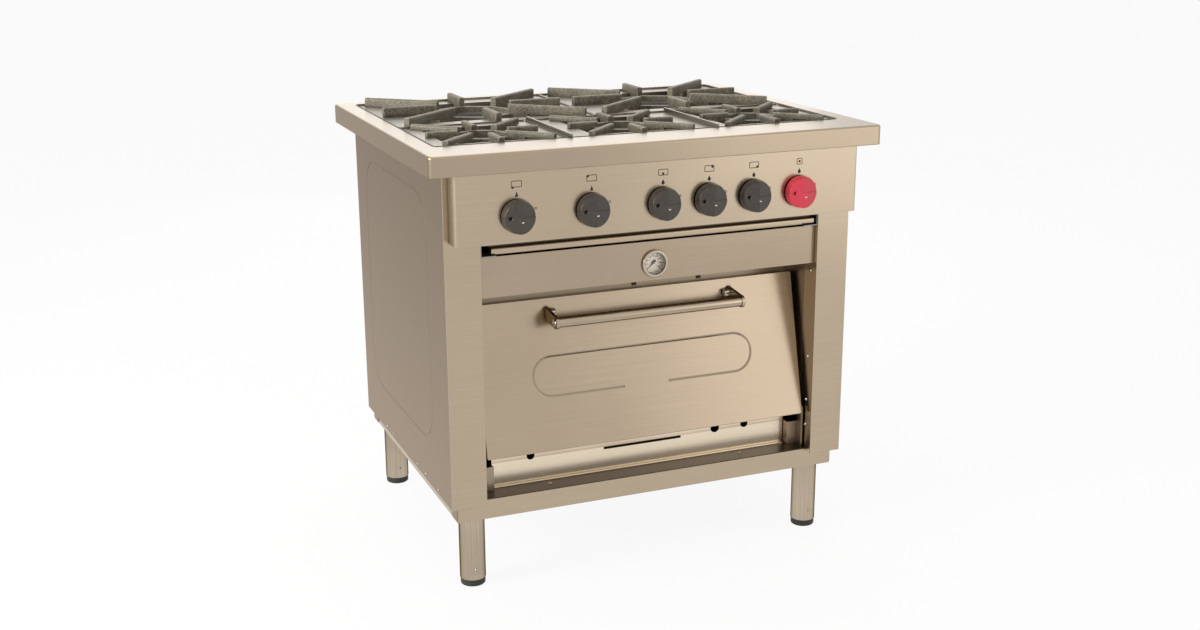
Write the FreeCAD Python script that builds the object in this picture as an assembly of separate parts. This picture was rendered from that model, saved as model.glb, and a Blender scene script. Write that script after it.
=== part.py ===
import FreeCAD, Part
import math
import os

# A free-standing gas range of sheet steel: five burners under lift-off pan supports,
# six push-and-turn taps, a pull-out drip tray and an oven with a leaning drop-down door.
# Millimetres, +X to the right, +Y to the back, +Z up, origin on the floor under the middle.

os.makedirs("parts", exist_ok=True)
V = FreeCAD.Vector
AXIS_X = V(1, 0, 0)
AXIS_Y = V(0, 1, 0)
AXIS_Z = V(0, 0, 1)

# Shared sheet, clearances and cutting
SHEET = 2.0
OVERRUN = 6.0
RUNNING_FIT = 0.05
SEAT_GAP = 0.3
PARALLEL_LIMIT = 1e-6

# Hob rim
RIM_WIDTH = 900.0
RIM_DEPTH = 724.0
HOB_HEIGHT = 850.0
RIM_SKIRT = 38.0
RIM_SIDE_STRIP = 38.0
RIM_FRONT_STRIP = 100.0
RIM_BACK_STRIP = 34.0
RIM_CORNER = 10.0
RIM_EDGE = 5.0

# Knobs and taps
KNOB_DIAMETER = 61.0
KNOB_FRONT_DIAMETER = 58.0
KNOB_DEPTH = 22.0
KNOB_STANDOFF = 3.5
KNOB_PUSH = 3.0
KNOB_SKIRT = 8.0
KNOB_ROOF_DROP = 7.0
KNOB_RIDGE = 5.0
KNOB_HOLE_DIAMETER = 6.5
KNOB_HOLE_DEPTH = 6.0
KNOB_GROOVE = 2.0
KNOB_EDGE = 1.5
KNOB_DROP = 79.0
KNOB_PLACE_SHARES = (-0.359, -0.183, -0.009, 0.107, 0.222, 0.342)
SPINDLE_DIAMETER = 8.0
SPINDLE_FLAT = 2.0
SPINDLE_GRIP = 12.0
SPINDLE_HOLE = 13.0
TAP_DIAMETER = 24.0
TAP_BORE_DEPTH = 16.0
TAP_FRONT_SETBACK = 9.0
TAP_OUTLET_DIAMETER = 14.0
TAP_OUTLET_RISE = 8.0

# Body sheets
BODY_OVERHANG = 36.0
PANEL_SETBACK = 10.0
PANEL_SIDE_INSET = 46.0
PANEL_HEIGHT = 164.0
PANEL_EDGE = 6.0
POST_SETBACK = 51.0
POST_WIDTH = 68.0
POST_REVEAL = 45.0
BACK_SETBACK = 30.0
BODY_LAP = 7.0

# Groove pressed in each side panel
SIDE_GROOVE_FRONT_GAP = 113.0
SIDE_GROOVE_BACK_GAP = 79.0
SIDE_GROOVE_BOTTOM_GAP = 91.0
SIDE_GROOVE_TOP_GAP = 97.0
SIDE_GROOVE_CORNER = 75.0
SIDE_GROOVE_WIDTH = 5.0
SIDE_GROOVE_DEPTH = 1.2

# Base frame, legs and feet
BASE_SIDE_INSET = 14.0
BASE_PLACE_SHARE = 0.24913
BASE_RAIL = 38.0
BASE_WALL = 2.5
BASE_FRONT_SETBACK = 64.0
BASE_BACK_SETBACK = 24.0
LEG_DIAMETER = 50.0
LEG_WALL = 2.5
LEG_PLUG = 16.0
LEG_INSET = 37.0
FOOT_DIAMETER = 48.0
FOOT_HEIGHT = 14.0
FOOT_EDGE = 3.0
FOOT_STEM_DIAMETER = 12.0
FOOT_STEM_LENGTH = 62.0

# Hob deck: spill trays on bearers, each with a square recess pressed round its burner
DECK_DROP = 3.0
TRAY_GAP = 1.0
TRAY_LIP = 3.0
DIVIDER_RISE = 9.0
REAR_RECESS_SHARE = 0.73
FRONT_RECESS_SHARE = 0.776
RECESS_DEPTH = 20.0
RECESS_CORNER = 18.0
FRONT_ZONE_SHARE = 0.417
MIDDLE_TRAY_SHARE = 0.37
BEARER_WIDTH = 20.0
BEARER_DEPTH = 10.0
STRAP_WIDTH = 30.0
STRAP_THICKNESS = 4.0

# Pan supports
REAR_GRATE_SIDE_GAP = 15.25
REAR_GRATE_END_GAP = 6.15
REAR_GRATE_PROUD = 15.0
REAR_RING_RADIUS = 80.0
FRONT_GRATE_SIDE_GAP = 20.2
FRONT_GRATE_END_GAP = 9.35
FRONT_GRATE_PROUD = 7.0
FRONT_RING_RADIUS = 50.0
FIN_THICKNESS = 12.0
FIN_EDGE = 3.5
RING_WALL = 9.0
RING_HANG = 11.0
RING_HEIGHT = 10.0
STEP_GAP = 3.0

# Burners
REAR_BURNER_DIAMETER = 104.0
FRONT_BURNER_DIAMETER = 66.0
BURNER_WALL = 4.0
BURNER_BODY_HEIGHT = 34.0
BURNER_STRAP_DROP = 56.0
BURNER_HOLE_GAP = 7.0
BURNER_CAP_RISE = 12.0
BURNER_CAP_EDGE = 4.0
BURNER_CAP_SPIGOT = 6.0
BURNER_FLOOR = 4.0
MIXER_DIAMETER = 26.0
MIXER_WALL = 3.0
MIXER_RISE = 17.0
MIXER_FRONT_GAP = 32.0
INJECTOR_WALL = 4.0

# Gas header, supply pipe and feed pipes
HEADER_SIDE = 25.0
HEADER_WALL = 2.5
HEADER_SETBACK = 54.0
SUPPLY_DIAMETER = 26.9
SUPPLY_INSET = 24.0
INLET_DIAMETER = 20.96
INLET_LENGTH = 20.0
INLET_BORE = 14.0
INLET_SHOULDER = 6.0
PIPE_DIAMETER = 8.0
PIPE_LEAD = 20.0
PIPE_BEND = 14.0
OVEN_PIPE_WALL_GAP = 27.0

# Drip tray and its runners
TRAY_SLOT_HEIGHT = 34.0
DRIP_SIDE_GAP = 14.0
DRIP_SHIFT = 8.0
DRIP_LIFT = 4.0
DRIP_WALL_HEIGHT = 24.0
DRIP_LIP_HEIGHT = 13.0
DRIP_LIP_DEPTH = 12.0
DRIP_FRONT_SETBACK = 57.0
DRIP_BACK_GAP = 60.0
RUNNER_LEDGE = 30.0
RUNNER_HEIGHT = 40.0

# Fascia above the oven door, with its thermometer
FASCIA_HEIGHT = 76.0
FASCIA_SETBACK = 62.0
THERMO_DIAMETER = 52.0
THERMO_RISE = 33.0
THERMO_PROUD = 6.0
THERMO_CASE_DEPTH = 20.0
THERMO_WALL = 3.0
THERMO_GLASS = 1.6
THERMO_GLASS_SEAT = 1.2
THERMO_DIAL = 1.0
THERMO_DIAL_DROP = 12.0
THERMO_PIN_DIAMETER = 2.4
THERMO_PIN_LENGTH = 4.0
NEEDLE_THICKNESS = 0.8
NEEDLE_LIFT = 1.6
NEEDLE_HUB_DIAMETER = 6.0
NEEDLE_WIDTH = 2.2
NEEDLE_LENGTH_SHARE = 0.74
NEEDLE_TAIL_SHARE = 0.3
NEEDLE_REST_ANGLE = 225.0

# Oven door
DOOR_SIDE_GAP = 9.0
DOOR_TOP_GAP = 33.2
DOOR_THICKNESS = 38.0
DOOR_LEAN = 13.2
DOOR_FOOT_SETBACK = 71.0
DOOR_FOOT_RISE = 73.5
DOOR_SKIN_DEPTH = 20.0
DOOR_CORNER = 4.0
DOOR_EDGE = 1.2
DOOR_GROOVE_END_INSET = 105.5
DOOR_GROOVE_HEIGHT = 77.0
DOOR_GROOVE_WIDTH = 5.0
DOOR_GROOVE_DEPTH = 1.4
DOOR_GROOVE_PLACE_SHARE = 0.566
DOOR_GROOVE_BREAK = 94.0
HINGE_PIN_DIAMETER = 8.0
HINGE_PIN_DEPTH = 15.0
HINGE_PIN_RISE = 8.5
HINGE_PIN_OVERHANG = 7.0
HINGE_BLOCK_LENGTH = 24.0
HINGE_BLOCK_SIDE = 13.0
HANDLE_DIAMETER = 20.0
HANDLE_WALL = 2.0
HANDLE_END_INSET = 146.0
HANDLE_DROP = 46.0
HANDLE_STANDOFF = 52.0
HANDLE_PLATE = 6.0
HANDLE_PLATE_RISE = 18.0
HANDLE_PLATE_HEIGHT = 24.0
HANDLE_PLATE_MARGIN = 2.0

# Oven mouth, burner fascia and hinge brackets
MOUTH_GAP = 2.5
MOUTH_PLATE = 4.0
MOUTH_FOOT_GAP = 2.0
MOUTH_LOW_BORDER = 22.0
MOUTH_TOP_COVER = 16.0
LOW_FASCIA_SETBACK = 114.0
LOW_FASCIA_GAP = 1.0
LOW_FASCIA_LIP = 8.0
PEEP_HEIGHT = 53.0
PEEP_DIAMETER = 16.0
MIDDLE_PEEP_DIAMETER = 19.0
PEEP_PLACE_SHARES = (-0.374, 0.253, 0.358)
LIGHT_SLOT_LENGTH = 167.0
LIGHT_SLOT_HEIGHT = 5.0
LIGHT_SLOT_RISE = 43.0
BRACKET_WIDTH = 26.0
BRACKET_DEPTH = 28.0
BRACKET_TOP_GAP = 5.0
BRACKET_WALL = 2.0
CHEEK_THICKNESS = 4.0
CHEEK_DOOR_GAP = 2.0
CHEEK_BOSS_DIAMETER = 18.0

# Oven cavity
OVEN_SIDE_GAP = 46.0
OVEN_FLOOR_RISE = 89.0
OVEN_CEILING_DROP = 14.0
OVEN_BACK_GAP = 54.0
OVEN_WALL = 2.0
HEAT_SLOT_WIDTH = 14.0
HEAT_SLOT_MARGIN = 22.0
HEAT_SLOT_SHARE = 0.6
WOOL_SIDE = 36.0
WOOL_TOP = 36.0
WOOL_BACK = 28.0
RAIL_LEDGE = 12.0
RAIL_THICKNESS = 2.0
RAIL_LEVEL_SHARES = (0.2, 0.45, 0.7)
RACK_LEVEL = 1
RACK_SIDE_GAP = 3.0
RACK_FRONT_GAP = 44.0
RACK_BACK_GAP = 12.0
RACK_FRAME_WIRE = 7.0
RACK_WIRE = 4.0
RACK_WIRE_COUNT = 15
OVEN_BURNER_DIAMETER = 25.0
OVEN_BURNER_HALF_SPREAD = 110.0
OVEN_BURNER_RISE = 36.0
OVEN_BURNER_FRONT_GAP = 22.0
OVEN_BURNER_LENGTH = 380.0
OVEN_BURNER_BEND = 30.0
OVEN_BURNER_FOOT = 12.0

# Screws and rivets
SCREW_HEAD_DIAMETER = 8.0
SCREW_HEAD_HEIGHT = 1.6
SCREW_REVEAL_DEPTH = 23.0
SCREW_PLACE_SHARES = (0.0722, 0.1534, 0.2902, 0.5594)
RIVET_DIAMETER = 6.0
RIVET_RISE = 9.0
RIVET_PLACE_SHARES = (0.14, 0.28, 0.37, 0.66, 0.74)
LEG_SCREW_DIAMETER = 7.0
LEG_SCREW_RISE = 22.0
LEG_SCREW_HEIGHT = 2.0

# Planes that the pieces share
overall_depth = RIM_DEPTH + KNOB_STANDOFF + KNOB_DEPTH - PANEL_SETBACK
rim_back = overall_depth / 2
rim_front = rim_back - RIM_DEPTH
rim_half = RIM_WIDTH / 2
rim_under = HOB_HEIGHT - SHEET
panel_front = rim_front + PANEL_SETBACK
panel_half = rim_half - PANEL_SIDE_INSET
panel_bottom = rim_under - PANEL_HEIGHT
slot_bottom = panel_bottom - TRAY_SLOT_HEIGHT
fascia_bottom = slot_bottom - FASCIA_HEIGHT
post_front = rim_front + POST_SETBACK
body_half = rim_half - BODY_OVERHANG
body_inside = body_half - SHEET
body_back = rim_back - BACK_SETBACK
post_inside = body_half - POST_WIDTH
reveal_back = post_front + POST_REVEAL
base_half = body_half - BASE_SIDE_INSET
base_front = rim_front + BASE_FRONT_SETBACK
base_back = rim_back - BASE_BACK_SETBACK
base_bottom = fascia_bottom * BASE_PLACE_SHARE
base_top = base_bottom + BASE_RAIL
body_bottom = base_top - BODY_LAP
floor_top = base_top + SHEET
hole_front = rim_front + RIM_FRONT_STRIP
hole_back = rim_back - RIM_BACK_STRIP
hole_half = rim_half - RIM_SIDE_STRIP
deck_top = HOB_HEIGHT - DECK_DROP
deck_under = deck_top - SHEET
deck_front = max(hole_front, reveal_back) + TRAY_GAP
deck_back = min(hole_back, body_back - SHEET) - TRAY_GAP
deck_half = min(hole_half, body_inside) - TRAY_GAP
deck_split = deck_front + (deck_back - deck_front) * FRONT_ZONE_SHARE
middle_half = deck_half * MIDDLE_TRAY_SHARE
knob_height = rim_under - RIM_SKIRT + SHEET - KNOB_DROP
fascia_front = rim_front + FASCIA_SETBACK
strap_top = deck_under - BURNER_STRAP_DROP
mixer_height = strap_top + MIXER_RISE
header_front = rim_front + HEADER_SETBACK + PANEL_SETBACK
header_back = header_front + HEADER_SIDE
mixer_front = deck_front + MIXER_FRONT_GAP
low_fascia_front = rim_front + LOW_FASCIA_SETBACK
oven_half = post_inside - OVEN_SIDE_GAP
oven_floor = floor_top + OVEN_FLOOR_RISE
oven_ceiling = fascia_bottom - OVEN_CEILING_DROP
oven_back = body_back - OVEN_BACK_GAP

# The leaning door plane: depth runs into the oven, rise runs up the door
door_foot = rim_front + DOOR_FOOT_SETBACK
door_half = post_inside - DOOR_SIDE_GAP
door_foot_height = floor_top + DOOR_FOOT_RISE
lean_angle = math.radians(DOOR_LEAN)
door_height = (fascia_bottom - DOOR_TOP_GAP - door_foot_height) / math.cos(lean_angle)
door_place = FreeCAD.Placement(V(0, door_foot, door_foot_height), FreeCAD.Rotation(AXIS_X, -DOOR_LEAN))
handle_rise = door_height - HANDLE_DROP
handle_root = handle_rise + HANDLE_PLATE_RISE
mouth_front = DOOR_THICKNESS + MOUTH_GAP
mouth_back = mouth_front + MOUTH_PLATE
hinge_point = door_place.multVec(V(0, HINGE_PIN_DEPTH, HINGE_PIN_RISE))
door_sweep = math.hypot(DOOR_THICKNESS - HINGE_PIN_DEPTH, HINGE_PIN_RISE)

# One list of tap places and one of burners, front row and back row
knob_places = [share * panel_half * 2 for share in KNOB_PLACE_SHARES]
front_middle = (deck_front + deck_split) / 2
rear_middle = (deck_split + deck_back) / 2
side_tray_middle = (deck_half + middle_half) / 2

# Each recess is a share of its tray, and each pan support fills its tray less some gaps
tray_clear = TRAY_GAP / 2
rear_tray_width = deck_half - tray_clear
rear_tray_depth = deck_back - deck_split - tray_clear
front_tray_width = deck_half - middle_half - tray_clear
front_tray_depth = deck_split - tray_clear - deck_front
rear_recess_half = min(rear_tray_width, rear_tray_depth) * REAR_RECESS_SHARE / 2
front_recess_half = min(front_tray_width, front_tray_depth) * FRONT_RECESS_SHARE / 2
recess_floor = deck_top - RECESS_DEPTH
rear_grate_width = rear_tray_width - REAR_GRATE_SIDE_GAP * 2
rear_grate_depth = rear_tray_depth - REAR_GRATE_END_GAP * 2
front_grate_width = front_tray_width - FRONT_GRATE_SIDE_GAP * 2
front_grate_depth = front_tray_depth - FRONT_GRATE_END_GAP * 2


def span_box(x0, x1, y0, y1, z0, z1):
    return Part.makeBox(x1 - x0, y1 - y0, z1 - z0, V(x0, y0, z0))


def straight_edges(shape, direction):
    found = []
    for edge in shape.Edges:
        if isinstance(edge.Curve, Part.Line):
            if edge.tangentAt(edge.FirstParameter).cross(direction).Length < PARALLEL_LIMIT:
                found.append(edge)
    return found


def rounded_box(x0, x1, y0, y1, z0, z1, direction, radius):
    block = span_box(x0, x1, y0, y1, z0, z1)
    return block.makeFillet(radius, straight_edges(block, direction))


def rod(start, end, radius):
    return Part.makeCylinder(radius, (end - start).Length, start, end - start)


def rod_x(x0, x1, y, z, radius):
    return rod(V(x0, y, z), V(x1, y, z), radius)


def rod_y(x, y0, y1, z, radius):
    return rod(V(x, y0, z), V(x, y1, z), radius)


def rod_z(x, y, z0, z1, radius):
    return rod(V(x, y, z0), V(x, y, z1), radius)


def bent_path(points, bend):
    """Straight runs through the points, joined by tangent arcs of one bend radius."""
    edges = []
    start = points[0]
    for before, corner, after in zip(points, points[1:], points[2:]):
        inward = (before - corner).normalize()
        outward = (after - corner).normalize()
        half_turn = (math.pi - inward.getAngle(outward)) / 2
        if half_turn < PARALLEL_LIMIT:
            continue
        reach = bend * math.tan(half_turn)
        arc_start = corner + inward * reach
        arc_end = corner + outward * reach
        arc_middle = corner + (inward + outward).normalize() * (bend / math.cos(half_turn) - bend)
        if start.distanceToPoint(arc_start) > PARALLEL_LIMIT:
            edges.append(Part.LineSegment(start, arc_start).toShape())
        edges.append(Part.Arc(arc_start, arc_middle, arc_end).toShape())
        start = arc_end
    edges.append(Part.LineSegment(start, points[-1]).toShape())
    return Part.Wire(edges)


def pipe_run(points, radius, bend):
    """A bent pipe along a path of straight runs and arcs."""
    ring = Part.Wire(Part.makeCircle(radius, points[0], points[1] - points[0]))
    return bent_path(points, bend).makePipeShell([ring], True, False)


def groove_cutter(points, bend, inward, width, depth):
    """A wedge run along a path on a sheet's face: it cuts a V groove of this width and depth."""
    across = (points[1] - points[0]).normalize().cross(inward) * width
    apex = points[0] + inward * depth
    base = points[0] - inward * depth
    wedge = Part.makePolygon([apex, base + across, base - across, apex])
    return bent_path(points, bend).makePipeShell([wedge], True, False)


def ring_edges_at(shape, centre, height_axis):
    """Circular edges of a turned piece that lie in the plane through centre."""
    found = []
    for edge in shape.Edges:
        if isinstance(edge.Curve, Part.Circle):
            if abs((edge.Curve.Center - centre).dot(height_axis)) < SEAT_GAP:
                found.append(edge)
    return found


def flat_plate(points, thickness):
    """A plate from an outline, raised along the outline's normal by thickness."""
    face = Part.Face(Part.makePolygon(points + points[:1]))
    return face.extrude(thickness)


def mirrored(shape):
    return shape.mirror(V(0, 0, 0), AXIS_X)


def both_sides(shape):
    return [shape, mirrored(shape)]


def leaned(shape):
    """Move a piece drawn on the upright door plane onto the leaning one."""
    placed = shape.copy()
    placed.Placement = door_place.multiply(placed.Placement)
    return placed


def slope_y(depth, height):
    """Where a plane at this depth behind the door skin stands at this height."""
    return door_foot + depth / math.cos(lean_angle) + (height - door_foot_height) * math.tan(lean_angle)


def behind_mouth(shape):
    """Trim an oven sheet to the back of the leaning mouth plate."""
    front = leaned(span_box(-RIM_WIDTH, RIM_WIDTH, -RIM_DEPTH, mouth_back, -HOB_HEIGHT, HOB_HEIGHT))
    return shape.cut(front)


def save(node, *shapes):
    shape = shapes[0]
    if len(shapes) > 1:
        shape = Part.makeCompound(list(shapes))
    shape.exportStep("parts/" + node + ".step")
    solids = shape.Solids
    print(node, len(solids), all(solid.isValid() for solid in solids), round(shape.Volume))


def square_tube(x0, x1, y0, y1, z0, z1, wall, along):
    outer = span_box(x0, x1, y0, y1, z0, z1)
    dx = -OVERRUN if along == AXIS_X else wall
    dy = -OVERRUN if along == AXIS_Y else wall
    return outer.cut(span_box(x0 + dx, x1 - dx, y0 + dy, y1 - dy, z0 + wall, z1 - wall))


def base_and_legs():
    front = square_tube(-base_half, base_half, base_front, base_front + BASE_RAIL,
                        base_bottom, base_top, BASE_WALL, AXIS_X)
    back = square_tube(-base_half, base_half, base_back - BASE_RAIL, base_back,
                       base_bottom, base_top, BASE_WALL, AXIS_X)
    side = square_tube(base_half - BASE_RAIL, base_half, base_front + BASE_RAIL, base_back - BASE_RAIL,
                       base_bottom, base_top, BASE_WALL, AXIS_Y)
    save("base_frame", front, back, *both_sides(side))

    leg_x = base_half - LEG_INSET
    leg_rows = (base_front + LEG_INSET, base_back - LEG_INSET)
    leg_places = [(side * leg_x, y) for y in leg_rows for side in (-1, 1)]
    legs = []
    screws = []
    for x, y in leg_places:
        outer = rod_z(x, y, FOOT_HEIGHT, base_bottom, LEG_DIAMETER / 2)
        inner = rod_z(x, y, FOOT_HEIGHT + LEG_PLUG, base_bottom - LEG_WALL, LEG_DIAMETER / 2 - LEG_WALL)
        thread = rod_z(x, y, 0, FOOT_HEIGHT + LEG_PLUG, FOOT_STEM_DIAMETER / 2 + RUNNING_FIT)
        legs.append(outer.cut(inner).cut(thread))
        height = FOOT_HEIGHT + LEG_SCREW_RISE
        head = rod_y(x, y - LEG_DIAMETER / 2 - LEG_SCREW_HEIGHT, y, height, LEG_SCREW_DIAMETER / 2)
        screws.append(head.cut(outer))
    save("leg_tubes", *legs)

    names = ("front_left_foot", "front_right_foot", "back_left_foot", "back_right_foot")
    for name, (x, y) in zip(names, leg_places):
        pad = rod_z(x, y, 0, FOOT_HEIGHT - SEAT_GAP, FOOT_DIAMETER / 2)
        pad = pad.makeFillet(FOOT_EDGE, ring_edges_at(pad, V(x, y, 0), AXIS_Z))
        stem = rod_z(x, y, FOOT_EDGE, FOOT_STEM_LENGTH, FOOT_STEM_DIAMETER / 2)
        save(name, pad.fuse(stem))
    return screws


def body_sheets():
    outside = span_box(body_inside, body_half, post_front + SHEET, body_back, body_bottom, rim_under)
    groove_front = post_front + SIDE_GROOVE_FRONT_GAP
    groove_back = body_back - SIDE_GROOVE_BACK_GAP
    groove_low = body_bottom + SIDE_GROOVE_BOTTOM_GAP
    groove_high = rim_under - SIDE_GROOVE_TOP_GAP
    groove_start = V(body_half, (groove_front + groove_back) / 2, groove_low)
    groove = groove_cutter([
        groove_start,
        V(body_half, groove_back, groove_low),
        V(body_half, groove_back, groove_high),
        V(body_half, groove_front, groove_high),
        V(body_half, groove_front, groove_low),
        groove_start,
    ], SIDE_GROOVE_CORNER, -AXIS_X, SIDE_GROOVE_WIDTH, SIDE_GROOVE_DEPTH)
    save("side_panels", *both_sides(outside.cut(groove)))

    inlet_hole = rod_y(supply_x(), body_back - OVERRUN, body_back + OVERRUN, knob_height,
                       SUPPLY_DIAMETER / 2 + SEAT_GAP)
    back = span_box(-body_inside, body_inside, body_back - SHEET, body_back, floor_top, rim_under)
    save("back_panel", back.cut(inlet_hole))
    save("floor_pan", span_box(-body_inside, body_inside, base_front, body_back, base_top, floor_top))

    face = span_box(post_inside, body_half, post_front, post_front + SHEET, body_bottom, rim_under)
    reveal = span_box(post_inside, post_inside + SHEET, post_front, reveal_back, floor_top, rim_under)
    save("front_posts", *both_sides(face.fuse(reveal).removeSplitter()))


def supply_x():
    return post_inside - SUPPLY_INSET


def control_panel():
    outer = rounded_box(-panel_half, panel_half, panel_front, post_front + PANEL_EDGE + OVERRUN,
                        panel_bottom, rim_under, AXIS_Z, PANEL_EDGE)
    outer = outer.cut(span_box(-RIM_WIDTH, RIM_WIDTH, post_front, rim_back, 0, HOB_HEIGHT))
    inner = rounded_box(-panel_half + SHEET, panel_half - SHEET, panel_front + SHEET, post_front + RIM_DEPTH,
                        panel_bottom + SHEET, rim_under + OVERRUN, AXIS_Z, PANEL_EDGE - SHEET)
    panel = outer.cut(inner)
    for x in knob_places:
        hole = rod_y(x, panel_front - OVERRUN, panel_front + OVERRUN, knob_height, SPINDLE_HOLE / 2)
        panel = panel.cut(hole)
    save("control_panel", panel)


def hob_rim():
    outer = rounded_box(-rim_half, rim_half, rim_front, rim_back, HOB_HEIGHT - RIM_SKIRT, HOB_HEIGHT,
                        AXIS_Z, RIM_CORNER)
    top_edges = [edge for edge in outer.Edges if edge.BoundBox.ZMin > HOB_HEIGHT - RIM_EDGE]
    outer = outer.makeFillet(RIM_EDGE, top_edges)
    inner = rounded_box(-rim_half + SHEET, rim_half - SHEET, rim_front + SHEET, rim_back - SHEET,
                        HOB_HEIGHT - RIM_SKIRT - OVERRUN, rim_under, AXIS_Z, RIM_CORNER - SHEET)
    inner_top = [edge for edge in inner.Edges if edge.BoundBox.ZMin > rim_under - RIM_EDGE]
    inner = inner.makeFillet(RIM_EDGE - SHEET, inner_top)
    hole = rounded_box(-hole_half, hole_half, hole_front, hole_back,
                       rim_under - OVERRUN, HOB_HEIGHT + OVERRUN, AXIS_Z, RIM_CORNER)
    save("hob_rim", outer.cut(inner).cut(hole))


def burner_table():
    """Each burner: name, place, half of the recess round it, head diameter, and its tap."""
    rear_x = deck_half / 2
    return [
        ("front_left", -side_tray_middle, front_middle, front_recess_half, FRONT_BURNER_DIAMETER, 0),
        ("back_left", -rear_x, rear_middle, rear_recess_half, REAR_BURNER_DIAMETER, 1),
        ("front_middle", 0, front_middle, front_recess_half, FRONT_BURNER_DIAMETER, 2),
        ("back_right", rear_x, rear_middle, rear_recess_half, REAR_BURNER_DIAMETER, 3),
        ("front_right", side_tray_middle, front_middle, front_recess_half, FRONT_BURNER_DIAMETER, 4),
    ]


def spill_tray(x0, x1, y0, y1, burner_x, burner_y, recess_half, hole_radius):
    """A flat tray with a low lip and a square recess pressed down round the burner's hole."""
    flat = rounded_box(x0, x1, y0, y1, deck_under, deck_top + TRAY_LIP, AXIS_Z, RIM_CORNER)
    above = rounded_box(x0 + SHEET, x1 - SHEET, y0 + SHEET, y1 - SHEET, deck_top, HOB_HEIGHT + OVERRUN,
                        AXIS_Z, RIM_CORNER - SHEET)
    left = burner_x - recess_half
    right = burner_x + recess_half
    front = burner_y - recess_half
    back = burner_y + recess_half
    outer = rounded_box(left - SHEET, right + SHEET, front - SHEET, back + SHEET,
                        recess_floor - SHEET, deck_top, AXIS_Z, RECESS_CORNER + SHEET)
    inner = rounded_box(left, right, front, back, recess_floor, deck_top + OVERRUN, AXIS_Z, RECESS_CORNER)
    hole = rod_z(burner_x, burner_y, recess_floor - OVERRUN, HOB_HEIGHT, hole_radius)
    return flat.cut(above).fuse(outer).cut(inner).cut(hole).removeSplitter()


def hob_deck():
    gap = tray_clear
    zones = {
        "front_left": (-deck_half, -middle_half - gap, deck_front, deck_split - gap),
        "back_left": (-deck_half, -gap, deck_split + gap, deck_back),
        "front_middle": (-middle_half + gap, middle_half - gap, deck_front, deck_split - gap),
        "back_right": (gap, deck_half, deck_split + gap, deck_back),
        "front_right": (middle_half + gap, deck_half, deck_front, deck_split - gap),
    }
    trays = []
    for name, x, y, recess_half, head, tap in burner_table():
        x0, x1, y0, y1 = zones[name]
        tray = spill_tray(x0, x1, y0, y1, x, y, recess_half, head / 2 + BURNER_HOLE_GAP)
        if name == "front_middle":
            for bar_x in (x0, x1 - SHEET * 2):
                bar = span_box(bar_x, bar_x + SHEET * 2, y0, y1, deck_under, deck_top + DIVIDER_RISE)
                tray = tray.fuse(bar).removeSplitter()
        trays.append(tray)
    save("spill_trays", *trays)

    low = deck_under - BEARER_DEPTH
    half = BEARER_WIDTH / 2
    inner = body_inside - BEARER_WIDTH
    front_row = deck_front + half
    back_row = deck_back - half
    side = span_box(inner, body_inside, deck_front, deck_back, low, deck_under)
    divider = span_box(middle_half - half, middle_half + half, front_row + half, deck_split - half,
                       low, deck_under)
    bearers = both_sides(side) + both_sides(divider)
    for y in (front_row, deck_split, back_row):
        bearers.append(span_box(-inner, inner, y - half, y + half, low, deck_under))
    for y in (front_middle, rear_middle):
        bearers.append(span_box(-body_inside, body_inside, y - STRAP_WIDTH / 2, y + STRAP_WIDTH / 2,
                                strap_top - STRAP_THICKNESS, strap_top))
    save("deck_bearers", *bearers)


def pan_support(name, x, y, width, depth, proud, ring_radius, recess_half):
    """A cast support: eight fins that rest on the tray and step down to a ring in its recess."""
    low = deck_top + SEAT_GAP
    top = HOB_HEIGHT + proud
    ring_low = deck_top - RING_HANG
    step = recess_half - STEP_GAP
    drop = low - ring_low
    bend = drop * math.sqrt(0.5)
    corner = math.hypot(width, depth) / 2
    lean = math.degrees(math.atan2(depth, width))
    reaches = [
        (0, width / 2), (lean, corner), (90, depth / 2), (180 - lean, corner),
        (180, width / 2), (180 + lean, corner), (270, depth / 2), (360 - lean, corner),
    ]
    half = FIN_THICKNESS / 2
    pieces = []
    outer_points = []
    inner_points = []
    for angle, reach in reaches:
        end = reach
        if reach == corner:
            end = corner - half
        foot = V(step - drop, -half, ring_low)
        heel = V(step - drop + bend, -half, low - bend)
        profile = [V(step, -half, low), V(end, -half, low), V(end, -half, top), V(ring_radius, -half, top),
                   V(ring_radius, -half, ring_low), foot]
        edges = [Part.LineSegment(a, b).toShape() for a, b in zip(profile, profile[1:])]
        edges.append(Part.Arc(foot, heel, profile[0]).toShape())
        fin = Part.Face(Part.Wire(edges)).extrude(AXIS_Y * FIN_THICKNESS)
        crown = [edge for edge in straight_edges(fin, AXIS_X) if edge.BoundBox.ZMin > top - FIN_EDGE]
        fin = fin.makeFillet(FIN_EDGE, crown)
        fin.rotate(V(0, 0, 0), AXIS_Z, angle)
        fin.translate(V(x, y, 0))
        pieces.append(fin)
        turn = V(math.cos(math.radians(angle)), math.sin(math.radians(angle)), 0)
        outer_points.append(V(x, y, ring_low) + turn * (ring_radius + RING_WALL))
        inner_points.append(V(x, y, ring_low) + turn * ring_radius)
    height = AXIS_Z * RING_HEIGHT
    ring = flat_plate(outer_points, height).cut(flat_plate(inner_points, height))
    save(name + "_grate", ring.multiFuse(pieces).removeSplitter())


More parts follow.
